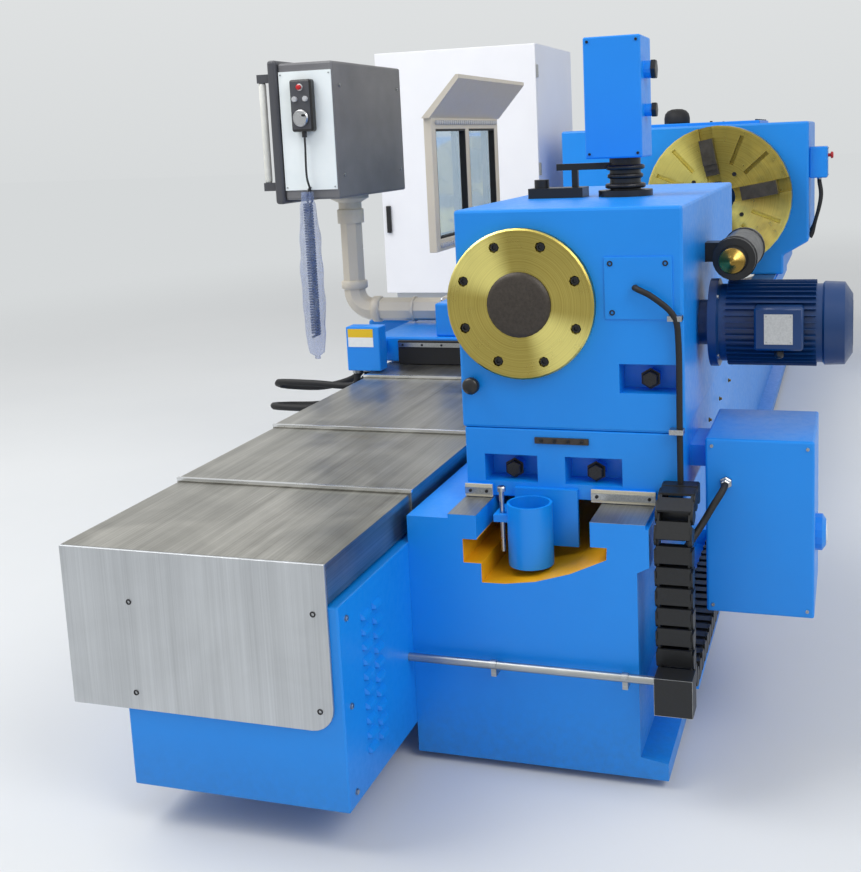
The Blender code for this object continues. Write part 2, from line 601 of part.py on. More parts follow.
# square tool turret on its base
BASE_TOP = 0.985
TURRET_TOP = 1.13
SLOT_Z = (1.03, 1.076)
tx, ty = TURRET_AT
turret_base = block("turret_base", (tx - 0.14, tx + 0.14), (ty - 0.13, ty + 0.13), (SLIDE_TOP - 0.004, BASE_TOP), 0.008, 2)
join(slide, turret_base)
half_t = TURRET_W / 2
turret = block("tool_turret", (tx - half_t, tx + half_t), (ty - half_t, ty + half_t), (BASE_TOP + GAP, TURRET_TOP), 0.005, 2)
grip = 0.034                 # depth of the tool slots
cut(turret, boxes("tool_slots", [
    ((tx - 0.2, tx + 0.2), (ty + half_t - grip, ty + 0.2), SLOT_Z),
    ((tx - 0.2, tx + 0.2), (ty - 0.2, ty - half_t + grip), SLOT_Z)]))
cut(turret, boxes("tool_slots_side", [
    ((tx + half_t - grip, tx + 0.2), (ty - 0.2, ty + 0.2), SLOT_Z),
    ((tx - 0.2, tx - half_t + grip), (ty - 0.2, ty + 0.2), SLOT_Z)]))
join(turret, turned("turret_knob", [(0.0, TURRET_TOP + 0.045), (0.022, TURRET_TOP + 0.045), (0.028, TURRET_TOP + 0.038),
                                    (0.028, TURRET_TOP + 0.02), (0.045, TURRET_TOP + 0.012),
                                    (0.045, TURRET_TOP - 0.01), (0.0, TURRET_TOP - 0.01)], "Z", (tx, ty, 0), 6))
paint(turret, STEEL, 0.3, 1.0)
tool_y = ty + half_t - grip - 0.003
tool = plate("turning_tool", "Z", SLOT_Z[0] - 0.003, SPINDLE_Z, [
    (tx - 0.016, tool_y), (tx + 0.016, tool_y), (tx + 0.016, tool_y + 0.075), (tx + 0.008, tool_y + 0.095),
    (tx - 0.016, tool_y + 0.085)])
join(turret, tool)
carrier("turret_axis", (tx, ty, BASE_TOP), turret)

# splash guard on the cross slide: frame with two windows, posts, glass and a leaning hood
GUARD_X = (0.12, 0.93)
GUARD_Y = (-0.722, -0.692)
GUARD_Z = (1.053, 1.533)
RAILING = 0.045              # width of the frame's bars
mid_x = (GUARD_X[0] + GUARD_X[1]) / 2
windows = []
for a, b in ((GUARD_X[0] + RAILING, mid_x - 0.02), (mid_x + 0.02, GUARD_X[1] - RAILING)):
    windows.append([(a, GUARD_Z[0] + RAILING), (b, GUARD_Z[0] + RAILING), (b, GUARD_Z[1] - RAILING), (a, GUARD_Z[1] - RAILING)])
guard = plate("guard_frame", "Y", GUARD_Y[0], GUARD_Y[1], [
    (GUARD_X[0], GUARD_Z[0]), (GUARD_X[1], GUARD_Z[0]), (GUARD_X[1], GUARD_Z[1]), (GUARD_X[0], GUARD_Z[1])],
    holes=windows, bevel=0.003)
join(guard, boxes("guard_posts", [((x, x + 0.04), (GUARD_Y[1] - 0.008, GUARD_Y[1] + 0.03),
                                   (SLIDE_TOP + GAP, GUARD_Z[0] + 0.06)) for x in (0.17, 0.40)]))
paint(guard, CREAM, 0.5)
glass = block("guard_glass", (GUARD_X[0] + RAILING - 0.012, GUARD_X[1] - RAILING + 0.012),
              (GUARD_Y[0] - 0.0045, GUARD_Y[0] - GAP), (GUARD_Z[0] + RAILING - 0.012, GUARD_Z[1] - RAILING + 0.012))
paint(glass, "BFD9E8", 0.08)
join(guard, plate("guard_hood", "X", GUARD_X[0] - 0.02, GUARD_X[1] + 0.02, [
    (GUARD_Y[0], GUARD_Z[1] - 0.006), (GUARD_Y[1], GUARD_Z[1] - 0.006), (GUARD_Y[1] + 0.114, GUARD_Z[1] + 0.125),
    (GUARD_Y[1] + 0.114, GUARD_Z[1] + 0.138), (GUARD_Y[1] + 0.104, GUARD_Z[1] + 0.138)]))

# pendant: arm bolted to the cross slide, swivelling box with bezel, handles, screen and controls
px, py = POST_AT
BEND = 0.075
arm_route = [(px, SLIDE_Y[0] - 0.055, ARM_Z)]
arm_route += [(px, y, z) for y, z in arc(py + BEND, ARM_Z + BEND, BEND, 270, 180, 8)]
arm_route += [(px, py, 1.17)]
arm = tube("pendant_arm", arm_route, POST_R, 2, solid=True)
join(arm, block("arm_flange", (px - 0.065, px + 0.065), (SLIDE_Y[0] - 0.06, SLIDE_Y[0] - GAP),
                (ARM_Z - 0.048, ARM_Z + 0.056), 0.004, 1),
     rod("arm_collar", "Z", (px, py, 0), POST_R + 0.007, 1.145, 1.17, 24),
     rod("arm_joint", "Y", (px, 0, ARM_Z), POST_R + 0.004, SLIDE_Y[0] - 0.20, SLIDE_Y[0] - 0.19, 24))
paint(arm, CREAM, 0.45)
neck = turned("pendant_neck", [(0.0, PENDANT_Z[0] + 0.004), (0.075, PENDANT_Z[0] + 0.004), (0.075, PENDANT_Z[0] - 0.014),
                               (POST_R, PENDANT_Z[0] - 0.03), (POST_R, 1.20), (POST_R + 0.007, 1.197),
                               (POST_R + 0.007, 1.17 + GAP), (0.0, 1.17 + GAP)], "Z", (px, py, 0), 24)
pendant = block("pendant_body", PENDANT_X, PENDANT_Y, PENDANT_Z, 0.008, 2)
join(pendant, neck)
paint(pendant, GREY, 0.5)
SIDE_PLATE_T = 0.004
side_plate = block("pendant_side_plate", (PENDANT_X[1] + GAP, PENDANT_X[1] + SIDE_PLATE_T),
                   (PENDANT_Y[0] + 0.004, PENDANT_Y[1] - 0.006), (PENDANT_Z[0] + 0.035, PENDANT_Z[1] - 0.031))
paint(side_plate, "F4FBFC", 0.35)
BEZEL_Y = (PENDANT_Y[0] - 0.036, PENDANT_Y[0] - GAP)
bezel = block("pendant_bezel", (PENDANT_X[0] - 0.015, PENDANT_X[1] + 0.015), BEZEL_Y,
              (PENDANT_Z[0] - 0.014, PENDANT_Z[1] + 0.012), 0.011, 3)
SCREEN_X = (PENDANT_X[0] + 0.06, PENDANT_X[0] + 0.40)
SCREEN_Z = (PENDANT_Z[0] + 0.20, PENDANT_Z[1] - 0.04)
KEYS_X = (PENDANT_X[0] + 0.43, PENDANT_X[1] - 0.05)
DIP = 0.006
cut(bezel, boxes("bezel_recesses", [
    (SCREEN_X, (BEZEL_Y[0] - 0.01, BEZEL_Y[0] + DIP), SCREEN_Z),
    (KEYS_X, (BEZEL_Y[0] - 0.01, BEZEL_Y[0] + 0.003), SCREEN_Z)]))
paint(bezel, "2E2F33", 0.5)
for name, x in (("pendant_handle_tail", PENDANT_X[1] - 0.018), ("pendant_handle_head", PENDANT_X[0] + 0.018)):
    join(bezel, boxes(name + "_blocks", [((x - 0.014, x + 0.014), (BEZEL_Y[0] - 0.052, BEZEL_Y[0] + 0.004), (z, z + 0.03))
                                         for z in (PENDANT_Z[0] + 0.035, PENDANT_Z[1] - 0.065)]),
         rod(name, "Z", (x, BEZEL_Y[0] - 0.038, 0), 0.011, PENDANT_Z[0] + 0.045, PENDANT_Z[1] - 0.045, 12))
STOP_AT = (KEYS_X[0] + 0.035, PENDANT_Z[0] + 0.085)
STEM_R = 0.009
stop = turned("emergency_button", [(0.0, -0.034), (0.012, -0.034), (0.019, -0.028), (0.020, -0.020), (0.017, -0.014),
                                   (STEM_R, -0.014), (STEM_R, 0.003), (0.0, 0.003)][::-1], "Y",
              (STOP_AT[0], BEZEL_Y[0], STOP_AT[1]), 20)
join(bezel, turned("emergency_collar", [(0.0, 0.004), (0.022, 0.004), (0.022, -0.005), (0.018, -0.0075), (0.0, -0.0075)],
                   "Y", (STOP_AT[0], BEZEL_Y[0], STOP_AT[1]), 20))
cut(bezel, rod("emergency_bore", "Y", (STOP_AT[0], BEZEL_Y[0], STOP_AT[1]), STEM_R + RUN, -0.01, 0.012, 20))
paint(stop, "C4161C", 0.35)

# handwheel unit on the side plate, its cable, curly cord and bag
UNIT_Y = -1.160
UNIT_X = (PENDANT_X[1] + SIDE_PLATE_T + GAP, PENDANT_X[1] + 0.042)
UNIT_Z = (1.499, 1.683)
unit = block("handwheel_unit", UNIT_X, (UNIT_Y - 0.042, UNIT_Y + 0.042), UNIT_Z, 0.008, 2)
join(unit, rod("handwheel_gland", "Z", (UNIT_X[1] - 0.015, UNIT_Y, 0), 0.009, UNIT_Z[0] - 0.02, UNIT_Z[0] + 0.01, 12))
paint(unit, BLACK, 0.45)
dial_z = UNIT_Z[0] + 0.048
dial = turned("handwheel_dial", [(0.0, 0.014), (0.026, 0.014), (0.030, 0.010), (0.030, 0.003), (0.024, GAP), (0.0, GAP)],
              "X", (UNIT_X[1], UNIT_Y, dial_z), 24)
paint(dial, "D8D8DA", 0.35)
CORD_X = PENDANT_X[1] + 0.035
CORD_R = 0.004
COIL_R = 0.019
COIL_Z = (0.75, 1.255)
BAG_Z = (0.672, 1.285)
cable_route = [(UNIT_X[1] - 0.015, UNIT_Y, UNIT_Z[0] - 0.02 - GAP), (UNIT_X[1] - 0.015, UNIT_Y, 1.44),
               (UNIT_X[1] - 0.010, UNIT_Y, 1.36), (CORD_X, UNIT_Y, 1.28), (CORD_X, UNIT_Y, COIL_Z[1] + GAP)]

cable = tube("handwheel_cable", square_ends(smooth_path(cable_route, 16), (0, 0, -1), (0, 0, -1)), CORD_R, 2)
paint(cable, BLACK, 0.6)
coil = rod("handwheel_curly_cord", "Z", (CORD_X, UNIT_Y, 0), COIL_R, COIL_Z[0], COIL_Z[1], 12)
paint(coil, BLACK, 0.6)
sheet = 0.0015
outer = [(COIL_R + GAP + sheet, BAG_Z[1]), (COIL_R + GAP + sheet, COIL_Z[1] - 0.04), (0.034, COIL_Z[1] - 0.10),
         (0.043, 1.02), (0.045, 0.86), (0.038, 0.72), (0.020, BAG_Z[0]), (0.0, BAG_Z[0])]
inner = [(0.0, BAG_Z[0] + sheet), (0.020 - sheet, BAG_Z[0] + sheet), (0.038 - sheet, 0.72), (0.045 - sheet, 0.86),
         (0.043 - sheet, 1.02), (0.034 - sheet, COIL_Z[1] - 0.10), (COIL_R + GAP, COIL_Z[1] - 0.04),
         (COIL_R + GAP, BAG_Z[1])]
bag = turned("cord_bag", outer + inner, "Z", (CORD_X, UNIT_Y, 0), 12, ring=True)
paint(bag, "A9BEDA", 0.25)
carrier("dial_axis", (UNIT_X[1], UNIT_Y, dial_z), dial)
carrier("stop_axis", (STOP_AT[0], BEZEL_Y[0], STOP_AT[1]), stop)
carrier("pendant_axis", (px, py, 1.17), pendant, bezel, side_plate, unit, cable, coil, bag)

# spindle, chuck body with jaw slots and T-slots, and four separate jaws
cx = CHUCK_X
nose = (HEAD_X[1] + GAP, cx[0] - GAP)
chuck = turned("chuck_body", [
    (CHUCK_BORE, cx[1]), (CHUCK_R - 0.008, cx[1]), (CHUCK_R, cx[1] - 0.008), (CHUCK_R, cx[0] + 0.05),
    (CHUCK_R - 0.05, cx[0] + 0.03), (CHUCK_R - 0.05, cx[0]), (0.21, cx[0]), (0.21, nose[0]), (CHUCK_BORE, nose[0])],
    "X", (0, 0, SPINDLE_Z), 40, ring=True)
JAW_ANGLES = (100, 190, 280, 10)
SLOT_DEPTH = 0.07
JAW_RISE = 0.075             # how far the jaws stand out of the face
JAW_IN = 0.13                # inner end of a jaw from the axis
JAW_LONG = 0.20
TONGUE = 0.016               # grooves that guide the jaws
for i, angle in enumerate(JAW_ANGLES):
    slot = plate("jaw_slot_%d" % (i + 1), "Y", CHUCK_BORE - 0.02, CHUCK_R + 0.02, [
        (cx[1] + 0.01, -JAW_SLOT_W / 2), (cx[1] + 0.01, JAW_SLOT_W / 2), (cx[1] - 0.03, JAW_SLOT_W / 2),
        (cx[1] - 0.03, JAW_SLOT_W / 2 + TONGUE), (cx[1] - 0.05, JAW_SLOT_W / 2 + TONGUE),
        (cx[1] - 0.05, JAW_SLOT_W / 2), (cx[1] - SLOT_DEPTH, JAW_SLOT_W / 2), (cx[1] - SLOT_DEPTH, -JAW_SLOT_W / 2),
        (cx[1] - 0.05, -JAW_SLOT_W / 2), (cx[1] - 0.05, -JAW_SLOT_W / 2 - TONGUE),
        (cx[1] - 0.03, -JAW_SLOT_W / 2 - TONGUE), (cx[1] - 0.03, -JAW_SLOT_W / 2)])
    hub = carrier("jaw_slot_axis_%d" % (i + 1), (0, 0, 0), slot)
    hub.location = (0, 0, SPINDLE_Z)
    hub.rotation_euler = (math.radians(angle), 0, 0)
    cut(chuck, slot)
T_DEPTH = 0.045
t_slots = []
for i in range(8):
    angle = JAW_ANGLES[3] + 45 + 90 * (i // 2) + (-13 if i % 2 else 13)
    groove = boxes("face_slot_%d" % (i + 1), [((cx[1] - T_DEPTH, cx[1] + 0.01), (0.20, CHUCK_R - 0.035), (-0.011, 0.011))])
    groove.location = (0, 0, SPINDLE_Z)
    groove.rotation_euler = (math.radians(angle), 0, 0)
    cut(chuck, groove)
paint(chuck, GOLD, 0.3, 1.0)
for i, angle in enumerate(JAW_ANGLES):
    w = JAW_SLOT_W / 2 - GAP
    t = TONGUE - GAP
    top = cx[1] + JAW_RISE
    deep = cx[1] - SLOT_DEPTH + GAP
    jaw = plate("chuck_jaw_%d" % (i + 1), "Y", JAW_IN, JAW_IN + JAW_LONG, [
        (deep, -w), (cx[1] - 0.05 + GAP, -w), (cx[1] - 0.05 + GAP, -w - t), (cx[1] - 0.03 - GAP, -w - t),
        (cx[1] - 0.03 - GAP, -w), (top, -w), (top, w), (cx[1] - 0.03 - GAP, w), (cx[1] - 0.03 - GAP, w + t),
        (cx[1] - 0.05 + GAP, w + t), (cx[1] - 0.05 + GAP, w), (deep, w)])
    steps = plate("jaw_steps_%d" % (i + 1), "Z", -0.1, 0.1, [
        (cx[1] + 0.025, JAW_IN - 0.01), (cx[1] + 0.025, JAW_IN + 0.03), (cx[1] + 0.05, JAW_IN + 0.03),
        (cx[1] + 0.05, JAW_IN + 0.06), (top + 0.01, JAW_IN + 0.06), (top + 0.01, JAW_IN - 0.01)])
    cut(jaw, steps)
    paint(jaw, "4A4640", 0.35, 1.0)
    for ob in (jaw, steps):
        ob.parent = carrier(ob.name + "_axis", (0, 0, SPINDLE_Z))
        ob.parent.rotation_euler = (math.radians(angle), 0, 0)

# headstock on its pedestal, with cover plate, belt guard, junction box and breather
pedestal = plate("headstock_pedestal", "X", BED_X0, TOOL_BED_X0 - GAP, [
    (PEDESTAL_Y, PAD_H), (BED_Y0 - GAP, PAD_H), (BED_Y0 - GAP, WAY_Z), (PEDESTAL_Y, WAY_Z)])
pad_places = [(x, y) for x in spread(BED_X0 + 0.15, TOOL_BED_X0 - 0.15, 3) for y in (PEDESTAL_Y + 0.08, BED_Y0 - 0.08)]
join(pedestal, discs("pedestal_pads", "Z", pad_places, 0.05, 0.0, PAD_H + 0.002, 8))
grille = [((x, x + 0.012), (PEDESTAL_Y - 0.01, PEDESTAL_Y + 0.012), (0.20, 0.42)) for x in spread(-2.70, -2.30, 12)]
cut(pedestal, boxes("pedestal_grille", grille))
paint(pedestal, BLUE, 0.35)
hx = HEAD_X
head_profile = [
    (HEAD_Y[0], WAY_Z + GAP), (HEAD_Y[1] - 0.14, WAY_Z + GAP), (HEAD_Y[1] - 0.14, 0.72), (HEAD_Y[1], 0.80),
    (HEAD_Y[1], HEAD_TOP), (HEAD_Y[0], HEAD_TOP)]
head = plate("headstock_body", "X", hx[0], hx[1], head_profile, bevel=0.012)
cut(head, rod("spindle_hole", "X", (0, 0, SPINDLE_Z), CHUCK_BORE, hx[1] - 0.30, hx[1] + 0.02, 24))
join(head, turned("headstock_boss", [(0.27, hx[1] + 0.018), (0.285, hx[1] + 0.010), (0.285, hx[1] - 0.02),
                                     (0.215, hx[1] - 0.02), (0.215, hx[1] + 0.018)], "X", (0, 0, SPINDLE_Z), 32, ring=True))
paint(head, BLUE, 0.35)
head_lid = block("headstock_lid", (hx[0] + 0.15, hx[1] - 0.15), (-0.62, 0.20), (HEAD_TOP - 0.004, HEAD_TOP + 0.018), 0.004, 1)
join(head, head_lid)
dome = turned("headstock_breather", [(0.0, 0.088), (0.030, 0.086), (0.055, 0.076), (0.070, 0.058), (0.076, 0.035),
                                     (0.076, -0.004), (0.0, -0.004)], "Z", (-2.45, -0.311, HEAD_TOP + 0.018), 16)
join(head, dome)
belt_guard = plate("belt_guard", "X", hx[0] - 0.20, hx[0] - GAP, [
    (-0.70, 0.16), (-0.30, 0.16), (0.26, 0.82), (0.26, 1.22), (0.12, 1.34), (-0.20, 1.34), (-0.70, 0.62)], bevel=0.02)
join(head, belt_guard, boxes("belt_guard_seat", [((hx[0] - 0.01, hx[0] + 0.01), (-0.20, 0.16), (0.86, 1.20))]))
BOX_Y = (HEAD_Y[1] + GAP, HEAD_Y[1] + 0.10)
BOX_X = (-2.32, -2.10)
BOX_Z = (1.154, 1.329)
junction = block("junction_box", BOX_X, BOX_Y, BOX_Z, 0.006, 1)
BUTTON_AT = (BOX_X[0] + 0.13, BOX_Z[1] - 0.05)
cut(junction, rod("button_hole", "Y", (BUTTON_AT[0], 0, BUTTON_AT[1]), 0.010 + GAP, BOX_Y[1] - 0.02, BOX_Y[1] + 0.02, 16))
paint(junction, BLUE, 0.35)
button = turned("junction_button", [(0.0, 0.030), (0.014, 0.030), (0.019, 0.026), (0.019, 0.016), (0.010, 0.014),
                                    (0.010, -0.012), (0.0, -0.012)], "Y", (BUTTON_AT[0], BOX_Y[1], BUTTON_AT[1]), 16)
paint(button, "C4161C", 0.35)
carrier("button_axis", (BUTTON_AT[0], BOX_Y[1], BUTTON_AT[1]), button)

# electrical cabinet on its plinth
cab_x, cab_y, cab_z = CABINET_X, CABINET_Y, CABINET_Z
plinth = block("cabinet_plinth", (cab_x[0] + 0.04, cab_x[1] - 0.05), (cab_y[0] + 0.05, cab_y[1] - 0.05),
               (0.0, cab_z[0] + 0.02))
cut(plinth, boxes("plinth_gaps", [((cab_x[0] - 0.1, cab_x[1] + 0.1), (cab_y[0] + 0.17, cab_y[1] - 0.17), (-0.01, 0.16))]))
DOOR_T = 0.025
WALL = 0.03
cabinet = block("cabinet_body", (cab_x[0], cab_x[1] - DOOR_T - GAP), cab_y, cab_z)
cut(cabinet, boxes("cabinet_room", [((cab_x[0] + WALL, cab_x[1] + 0.1), (cab_y[0] + WALL, cab_y[1] - WALL),
                                     (cab_z[0] + WALL, cab_z[1] - WALL))]))
paint(cabinet, WHITE, 0.4)
door = block("cabinet_door", (cab_x[1] - DOOR_T, cab_x[1]), cab_y, cab_z, 0.004, 2)
paint(door, WHITE, 0.4)
LATCH = (cab_y[0] + 0.045, 0.975)
latch = plate("cabinet_door_handle", "X", cab_x[1] + GAP, cab_x[1] + 0.022, [
    (LATCH[0] - 0.014, LATCH[1] - 0.085), (LATCH[0] + 0.014, LATCH[1] - 0.085), (LATCH[0] + 0.014, LATCH[1] + 0.085),
    (LATCH[0] - 0.014, LATCH[1] + 0.085)], bevel=0.004)
paint(latch, BLACK, 0.4)
carrier("latch_axis", (cab_x[1], LATCH[0], LATCH[1] + 0.06), latch)
carrier("door_axis", (cab_x[1], cab_y[1], cab_z[0]), door)
rail_brace = boxes("cabinet_brace", [((-2.62, -2.54), (cab_y[1] - 0.06, PEDESTAL_Y - GAP), (0.30, 0.36))])
join(cabinet, plinth, rail_brace)
gear_plate = block("cabinet_back_plate", (cab_x[0] + WALL - 0.004, cab_x[0] + WALL + 0.006), (cab_y[0] + 0.09, cab_y[1] - 0.09),
                   (cab_z[0] + 0.10, cab_z[1] - 0.10))
join(gear_plate, boxes("cabinet_gear", [
    ((cab_x[0] + WALL + 0.004, cab_x[0] + WALL + 0.20), (cab_y[0] + 0.15, cab_y[0] + 0.42), (1.10, 1.50)),
    ((cab_x[0] + WALL + 0.004, cab_x[0] + WALL + 0.16), (cab_y[0] + 0.47, cab_y[0] + 0.86), (1.10, 1.42)),
    ((cab_x[0] + WALL + 0.004, cab_x[0] + WALL + 0.10), (cab_y[0] + 0.15, cab_y[0] + 0.86), (0.75, 0.86))]))
join(cabinet, gear_plate)

# tailstock: base on the ways, body with bored barrel, flange and disc at the rear
tx0, tx1 = TAIL_X
tail_base = plate("tailstock_base", "X", tx0, tx1, [
    (TAIL_Y[0] + 0.006, WAY_Z + GAP), (TAIL_Y[1] - 0.006, WAY_Z + GAP), (TAIL_Y[1] - 0.006, TAIL_SPLIT - GAP),
    (TAIL_Y[0] + 0.006, TAIL_SPLIT - GAP)], bevel=0.003)
low_pockets = [((-0.104, 0.024), (0.647, 0.712)), ((0.090, 0.224), (0.647, 0.712))]
cut(tail_base, boxes("base_pockets", [((tx1 - 0.07, tx1 + 0.01), y, z) for y, z in low_pockets]))
join(tail_base, discs("base_pocket_bolts", "X", [((y[0] + y[1]) / 2, 0.672) for y, z in low_pockets], 0.019,
                      tx1 - 0.072, tx1 - 0.03, 6))
paint(tail_base, BLUE, 0.35)
tail = plate("tailstock_body", "X", tx0, tx1, [
    (TAIL_Y[0], TAIL_SPLIT), (TAIL_Y[1], TAIL_SPLIT), (TAIL_Y[1], TAIL_TOP), (TAIL_Y[0], TAIL_TOP)], bevel=0.007)
side_pocket = ((0.222, 0.353), (0.866, 0.933))
cut(tail, boxes("body_pocket", [((tx1 - 0.07, tx1 + 0.01), *side_pocket)]),
    rod("quill_bore", "X", (0, 0, SPINDLE_Z), QUILL_R + GAP, tx0 - 0.01, tx0 + 0.72, 32))
join(tail, discs("body_pocket_bolt", "X", [(0.288, 0.895)], 0.019, tx1 - 0.072, tx1 - 0.03, 6),
     turned("barrel_ring", [(0.150, tx0 + 0.01), (0.150, tx0 - 0.022), (QUILL_R + 0.004, tx0 - 0.022),
                            (QUILL_R + 0.004, tx0 + 0.01)][::-1], "X", (0, 0, SPINDLE_Z), 32, ring=True))
paint(tail, BLUE, 0.35)
ay, az = TAIL_AXIS
flange = turned("tailstock_flange", [
    (0.0, tx1 + 0.024), (FLANGE_R - 0.004, tx1 + 0.024), (FLANGE_R, tx1 + 0.020), (FLANGE_R, tx1 + GAP),
    (0.0, tx1 + GAP)], "X", (0, ay, az), 48)
cut(flange, discs("flange_bolt_holes", "X", ring_of(8, FLANGE_R - 0.032, ay, az, 22.5), 0.0125,
                  tx1 + 0.010, tx1 + 0.04, 8))
paint(flange, GOLD, 0.25, 1.0)
disc = turned("tailstock_disc", [(0.0, 0.012), (DISC_R - 0.012, 0.012), (DISC_R - 0.004, 0.009), (DISC_R, 0.004),
                                 (DISC_R, GAP), (0.0, GAP)], "X", (tx1 + 0.024, ay, az), 32)
paint(disc, DARK, 0.4)
QUILL_OUT = 0.09
quill = turned("quill", [
    (0.030, tx0 - QUILL_OUT), (QUILL_R - 0.006, tx0 - QUILL_OUT), (QUILL_R, tx0 - QUILL_OUT + 0.006),
    (QUILL_R, tx0 + 0.60), (0.030, tx0 + 0.60)][::-1], "X", (0, 0, SPINDLE_Z), 32, ring=True)
paint(quill, STEEL, 0.2, 1.0)
centre = turned("live_centre", [
    (0.0, tx0 - QUILL_OUT - 0.17), (0.006, tx0 - QUILL_OUT - 0.165), (0.046, tx0 - QUILL_OUT - 0.095),
    (0.046, tx0 - QUILL_OUT - 0.075), (0.068, tx0 - QUILL_OUT - 0.070), (0.068, tx0 - QUILL_OUT - GAP),
    (0.030 - GAP, tx0 - QUILL_OUT - GAP), (0.026, tx0 - QUILL_OUT + 0.14), (0.0, tx0 - QUILL_OUT + 0.14)][::-1],
    "X", (0, 0, SPINDLE_Z), 24)
paint(centre, STEEL, 0.2, 1.0)
spin = carrier("centre_axis", (tx0 - QUILL_OUT, 0, SPINDLE_Z), centre)
for name, y in (("tailstock_wiper_front", (-0.149, -0.085)), ("tailstock_wiper_rear", (0.155, 0.300))):
    join(tail_base, block(name, (tx1 - 0.006, tx1 + 0.012), y, (WAY_Z + GAP, WAY_Z + 0.030)))

# safety pawl in the trough: open tube on a bracket plate, and a lifting rod in an ear
PAWL_AT = (tx1 + 0.066, 0.020)
PAWL_R = 0.0525
bracket = plate("pawl_bracket", "X", tx1 + GAP, tx1 + 0.012, [(-0.03, 0.50), (0.12, 0.50), (0.12, 0.636), (-0.03, 0.636)])
join(bracket, boxes("pawl_ear", [((tx1 + 0.002, tx1 + 0.085), (-0.062, -0.026), (0.575, 0.592))]),
     turned("pawl_tube", [(PAWL_R - 0.006, 0.62), (PAWL_R, 0.62), (PAWL_R, 0.475), (0.0, 0.475), (0.0, 0.485),
                          (PAWL_R - 0.006, 0.485)], "Z", (PAWL_AT[0], PAWL_AT[1], 0), 24, ring=True))
ROD_AT = (tx1 + 0.066, -0.046)
cut(bracket, rod("pawl_rod_hole", "Z", (*ROD_AT, 0), 0.006 + GAP, 0.55, 0.61, 12))
paint(bracket, BLUE, 0.35)
pawl_rod = turned("pawl_rod", [(0.0, 0.655), (0.008, 0.655), (0.010, 0.652), (0.010, 0.643), (0.006, 0.641),
                               (0.006, 0.500), (0.0, 0.500)], "Z", (*ROD_AT, 0), 12)
paint(pawl_rod, STEEL, 0.25, 1.0)
carrier("pawl_axis", (*ROD_AT, 0.58), pawl_rod)

# post with a blue box on top of the tailstock, and the fittings beside it
POST_X = 1.84
POST_Y = 0.16
BOX_TOP = (1.3833, 1.684)
post = turned("tail_post", [(0.0, BOX_TOP[0] - GAP), (0.040, BOX_TOP[0] - GAP), (0.040, TAIL_TOP + 0.016),
                            (0.070, TAIL_TOP + 0.016), (0.070, TAIL_TOP + GAP), (0.0, TAIL_TOP + GAP)],
              "Z", (POST_X, POST_Y, 0), 24)
join(post, boxes("post_bar", [((POST_X - 0.008, POST_X + 0.008), (-0.02, POST_Y - 0.02), (1.355, 1.372))]),
     boxes("post_bar_down", [((POST_X - 0.007, POST_X + 0.007), (0.02, 0.036), (TAIL_TOP + 0.02, 1.360))]),
     boxes("post_valve", [((POST_X - 0.04, POST_X + 0.04), (-0.09, 0.055), (TAIL_TOP + GAP, TAIL_TOP + 0.026))]),
     rod("post_knob", "Z", (POST_X + 0.01, -0.06, 0), 0.02, TAIL_TOP + 0.02, TAIL_TOP + 0.048, 12))
paint(post, BLACK, 0.45)
tail_box = block("tail_top_box", (POST_X - 0.075, POST_X + 0.075), (0.073, 0.218), BOX_TOP, 0.004, 2)
join(tail_box, rod("tail_box_port", "Y", (POST_X + 0.02, 0, 1.60), 0.022, 0.21, 0.236, 16),
     rod("tail_box_port_low", "Y", (POST_X + 0.02, 0, 1.50), 0.016, 0.21, 0.240, 16))
paint(tail_box, BLUE, 0.35)

# motor on the rear side, the cylinder over it and the hydraulic box below
side = TAIL_Y[1] + GAP
MOTOR_AT = (2.00, 0.982)
motor = turned("tail_motor", [
    (0.0, 0.723), (0.070, 0.723), (0.098, 0.705), (0.100, 0.66), (0.094, 0.655), (0.094, 0.420), (0.107, 0.415),
    (0.107, 0.395), (0.055, 0.390), (0.055, side), (0.0, side)], "Y", (MOTOR_AT[0], 0, MOTOR_AT[1]), 24)
join(motor, block("motor_terminal_box", (MOTOR_AT[0] + 0.075, MOTOR_AT[0] + 0.135), (0.505, 0.615),
                  (MOTOR_AT[1] - 0.045, MOTOR_AT[1] + 0.055), 0.005, 1))
paint(motor, NAVY, 0.35)
cylinder = turned("tail_cylinder", [(0.0, 2.10), (0.030, 2.10), (0.034, 2.07), (0.050, 2.068), (0.050, 1.76), (0.0, 1.76)],
                  "X", (0, 0.455, 1.142), 24)
join(cylinder, boxes("cylinder_bracket", [((1.84, 1.90), (side, 0.43), (1.118, 1.166))]))
paint(cylinder, BLACK, 0.4)
hydraulic = block("hydraulic_box", (1.95, 2.25), (0.405, 0.645), (0.343, 0.755), 0.005, 2)
join(hydraulic, boxes("hydraulic_bracket", [((2.02, 2.18), (TAIL_Y[1] - 0.006 + GAP, 0.41), (0.67, 0.72))]),
     turned("hydraulic_gauge", [(0.0, 0.668), (0.030, 0.668), (0.042, 0.660), (0.042, 0.640), (0.0, 0.640)], "Y",
            (2.16, 0, 0.52), 16))
paint(hydraulic, BLUE, 0.35)

# drag chain from the tailstock's end down to its tray on the bed, and the conduit pipe across the bed end
CHAIN_Y = (0.318, 0.400)
CHAIN_T = 0.044
CHAIN_TOP = 0.645
CHAIN_LOW = 0.240
CHAIN_OUT = 2.43
CHAIN_R = 0.07
CHAIN_END = 1.45
PITCH = 0.045
centre_line = [(tx1 + GAP, CHAIN_TOP)]
centre_line += arc(CHAIN_OUT - CHAIN_R, CHAIN_TOP - CHAIN_R, CHAIN_R, 90, 0, 12)
centre_line += arc(CHAIN_OUT - CHAIN_R, CHAIN_LOW + CHAIN_R, CHAIN_R, 0, -90, 12)
centre_line += [(CHAIN_END + GAP, CHAIN_LOW)]


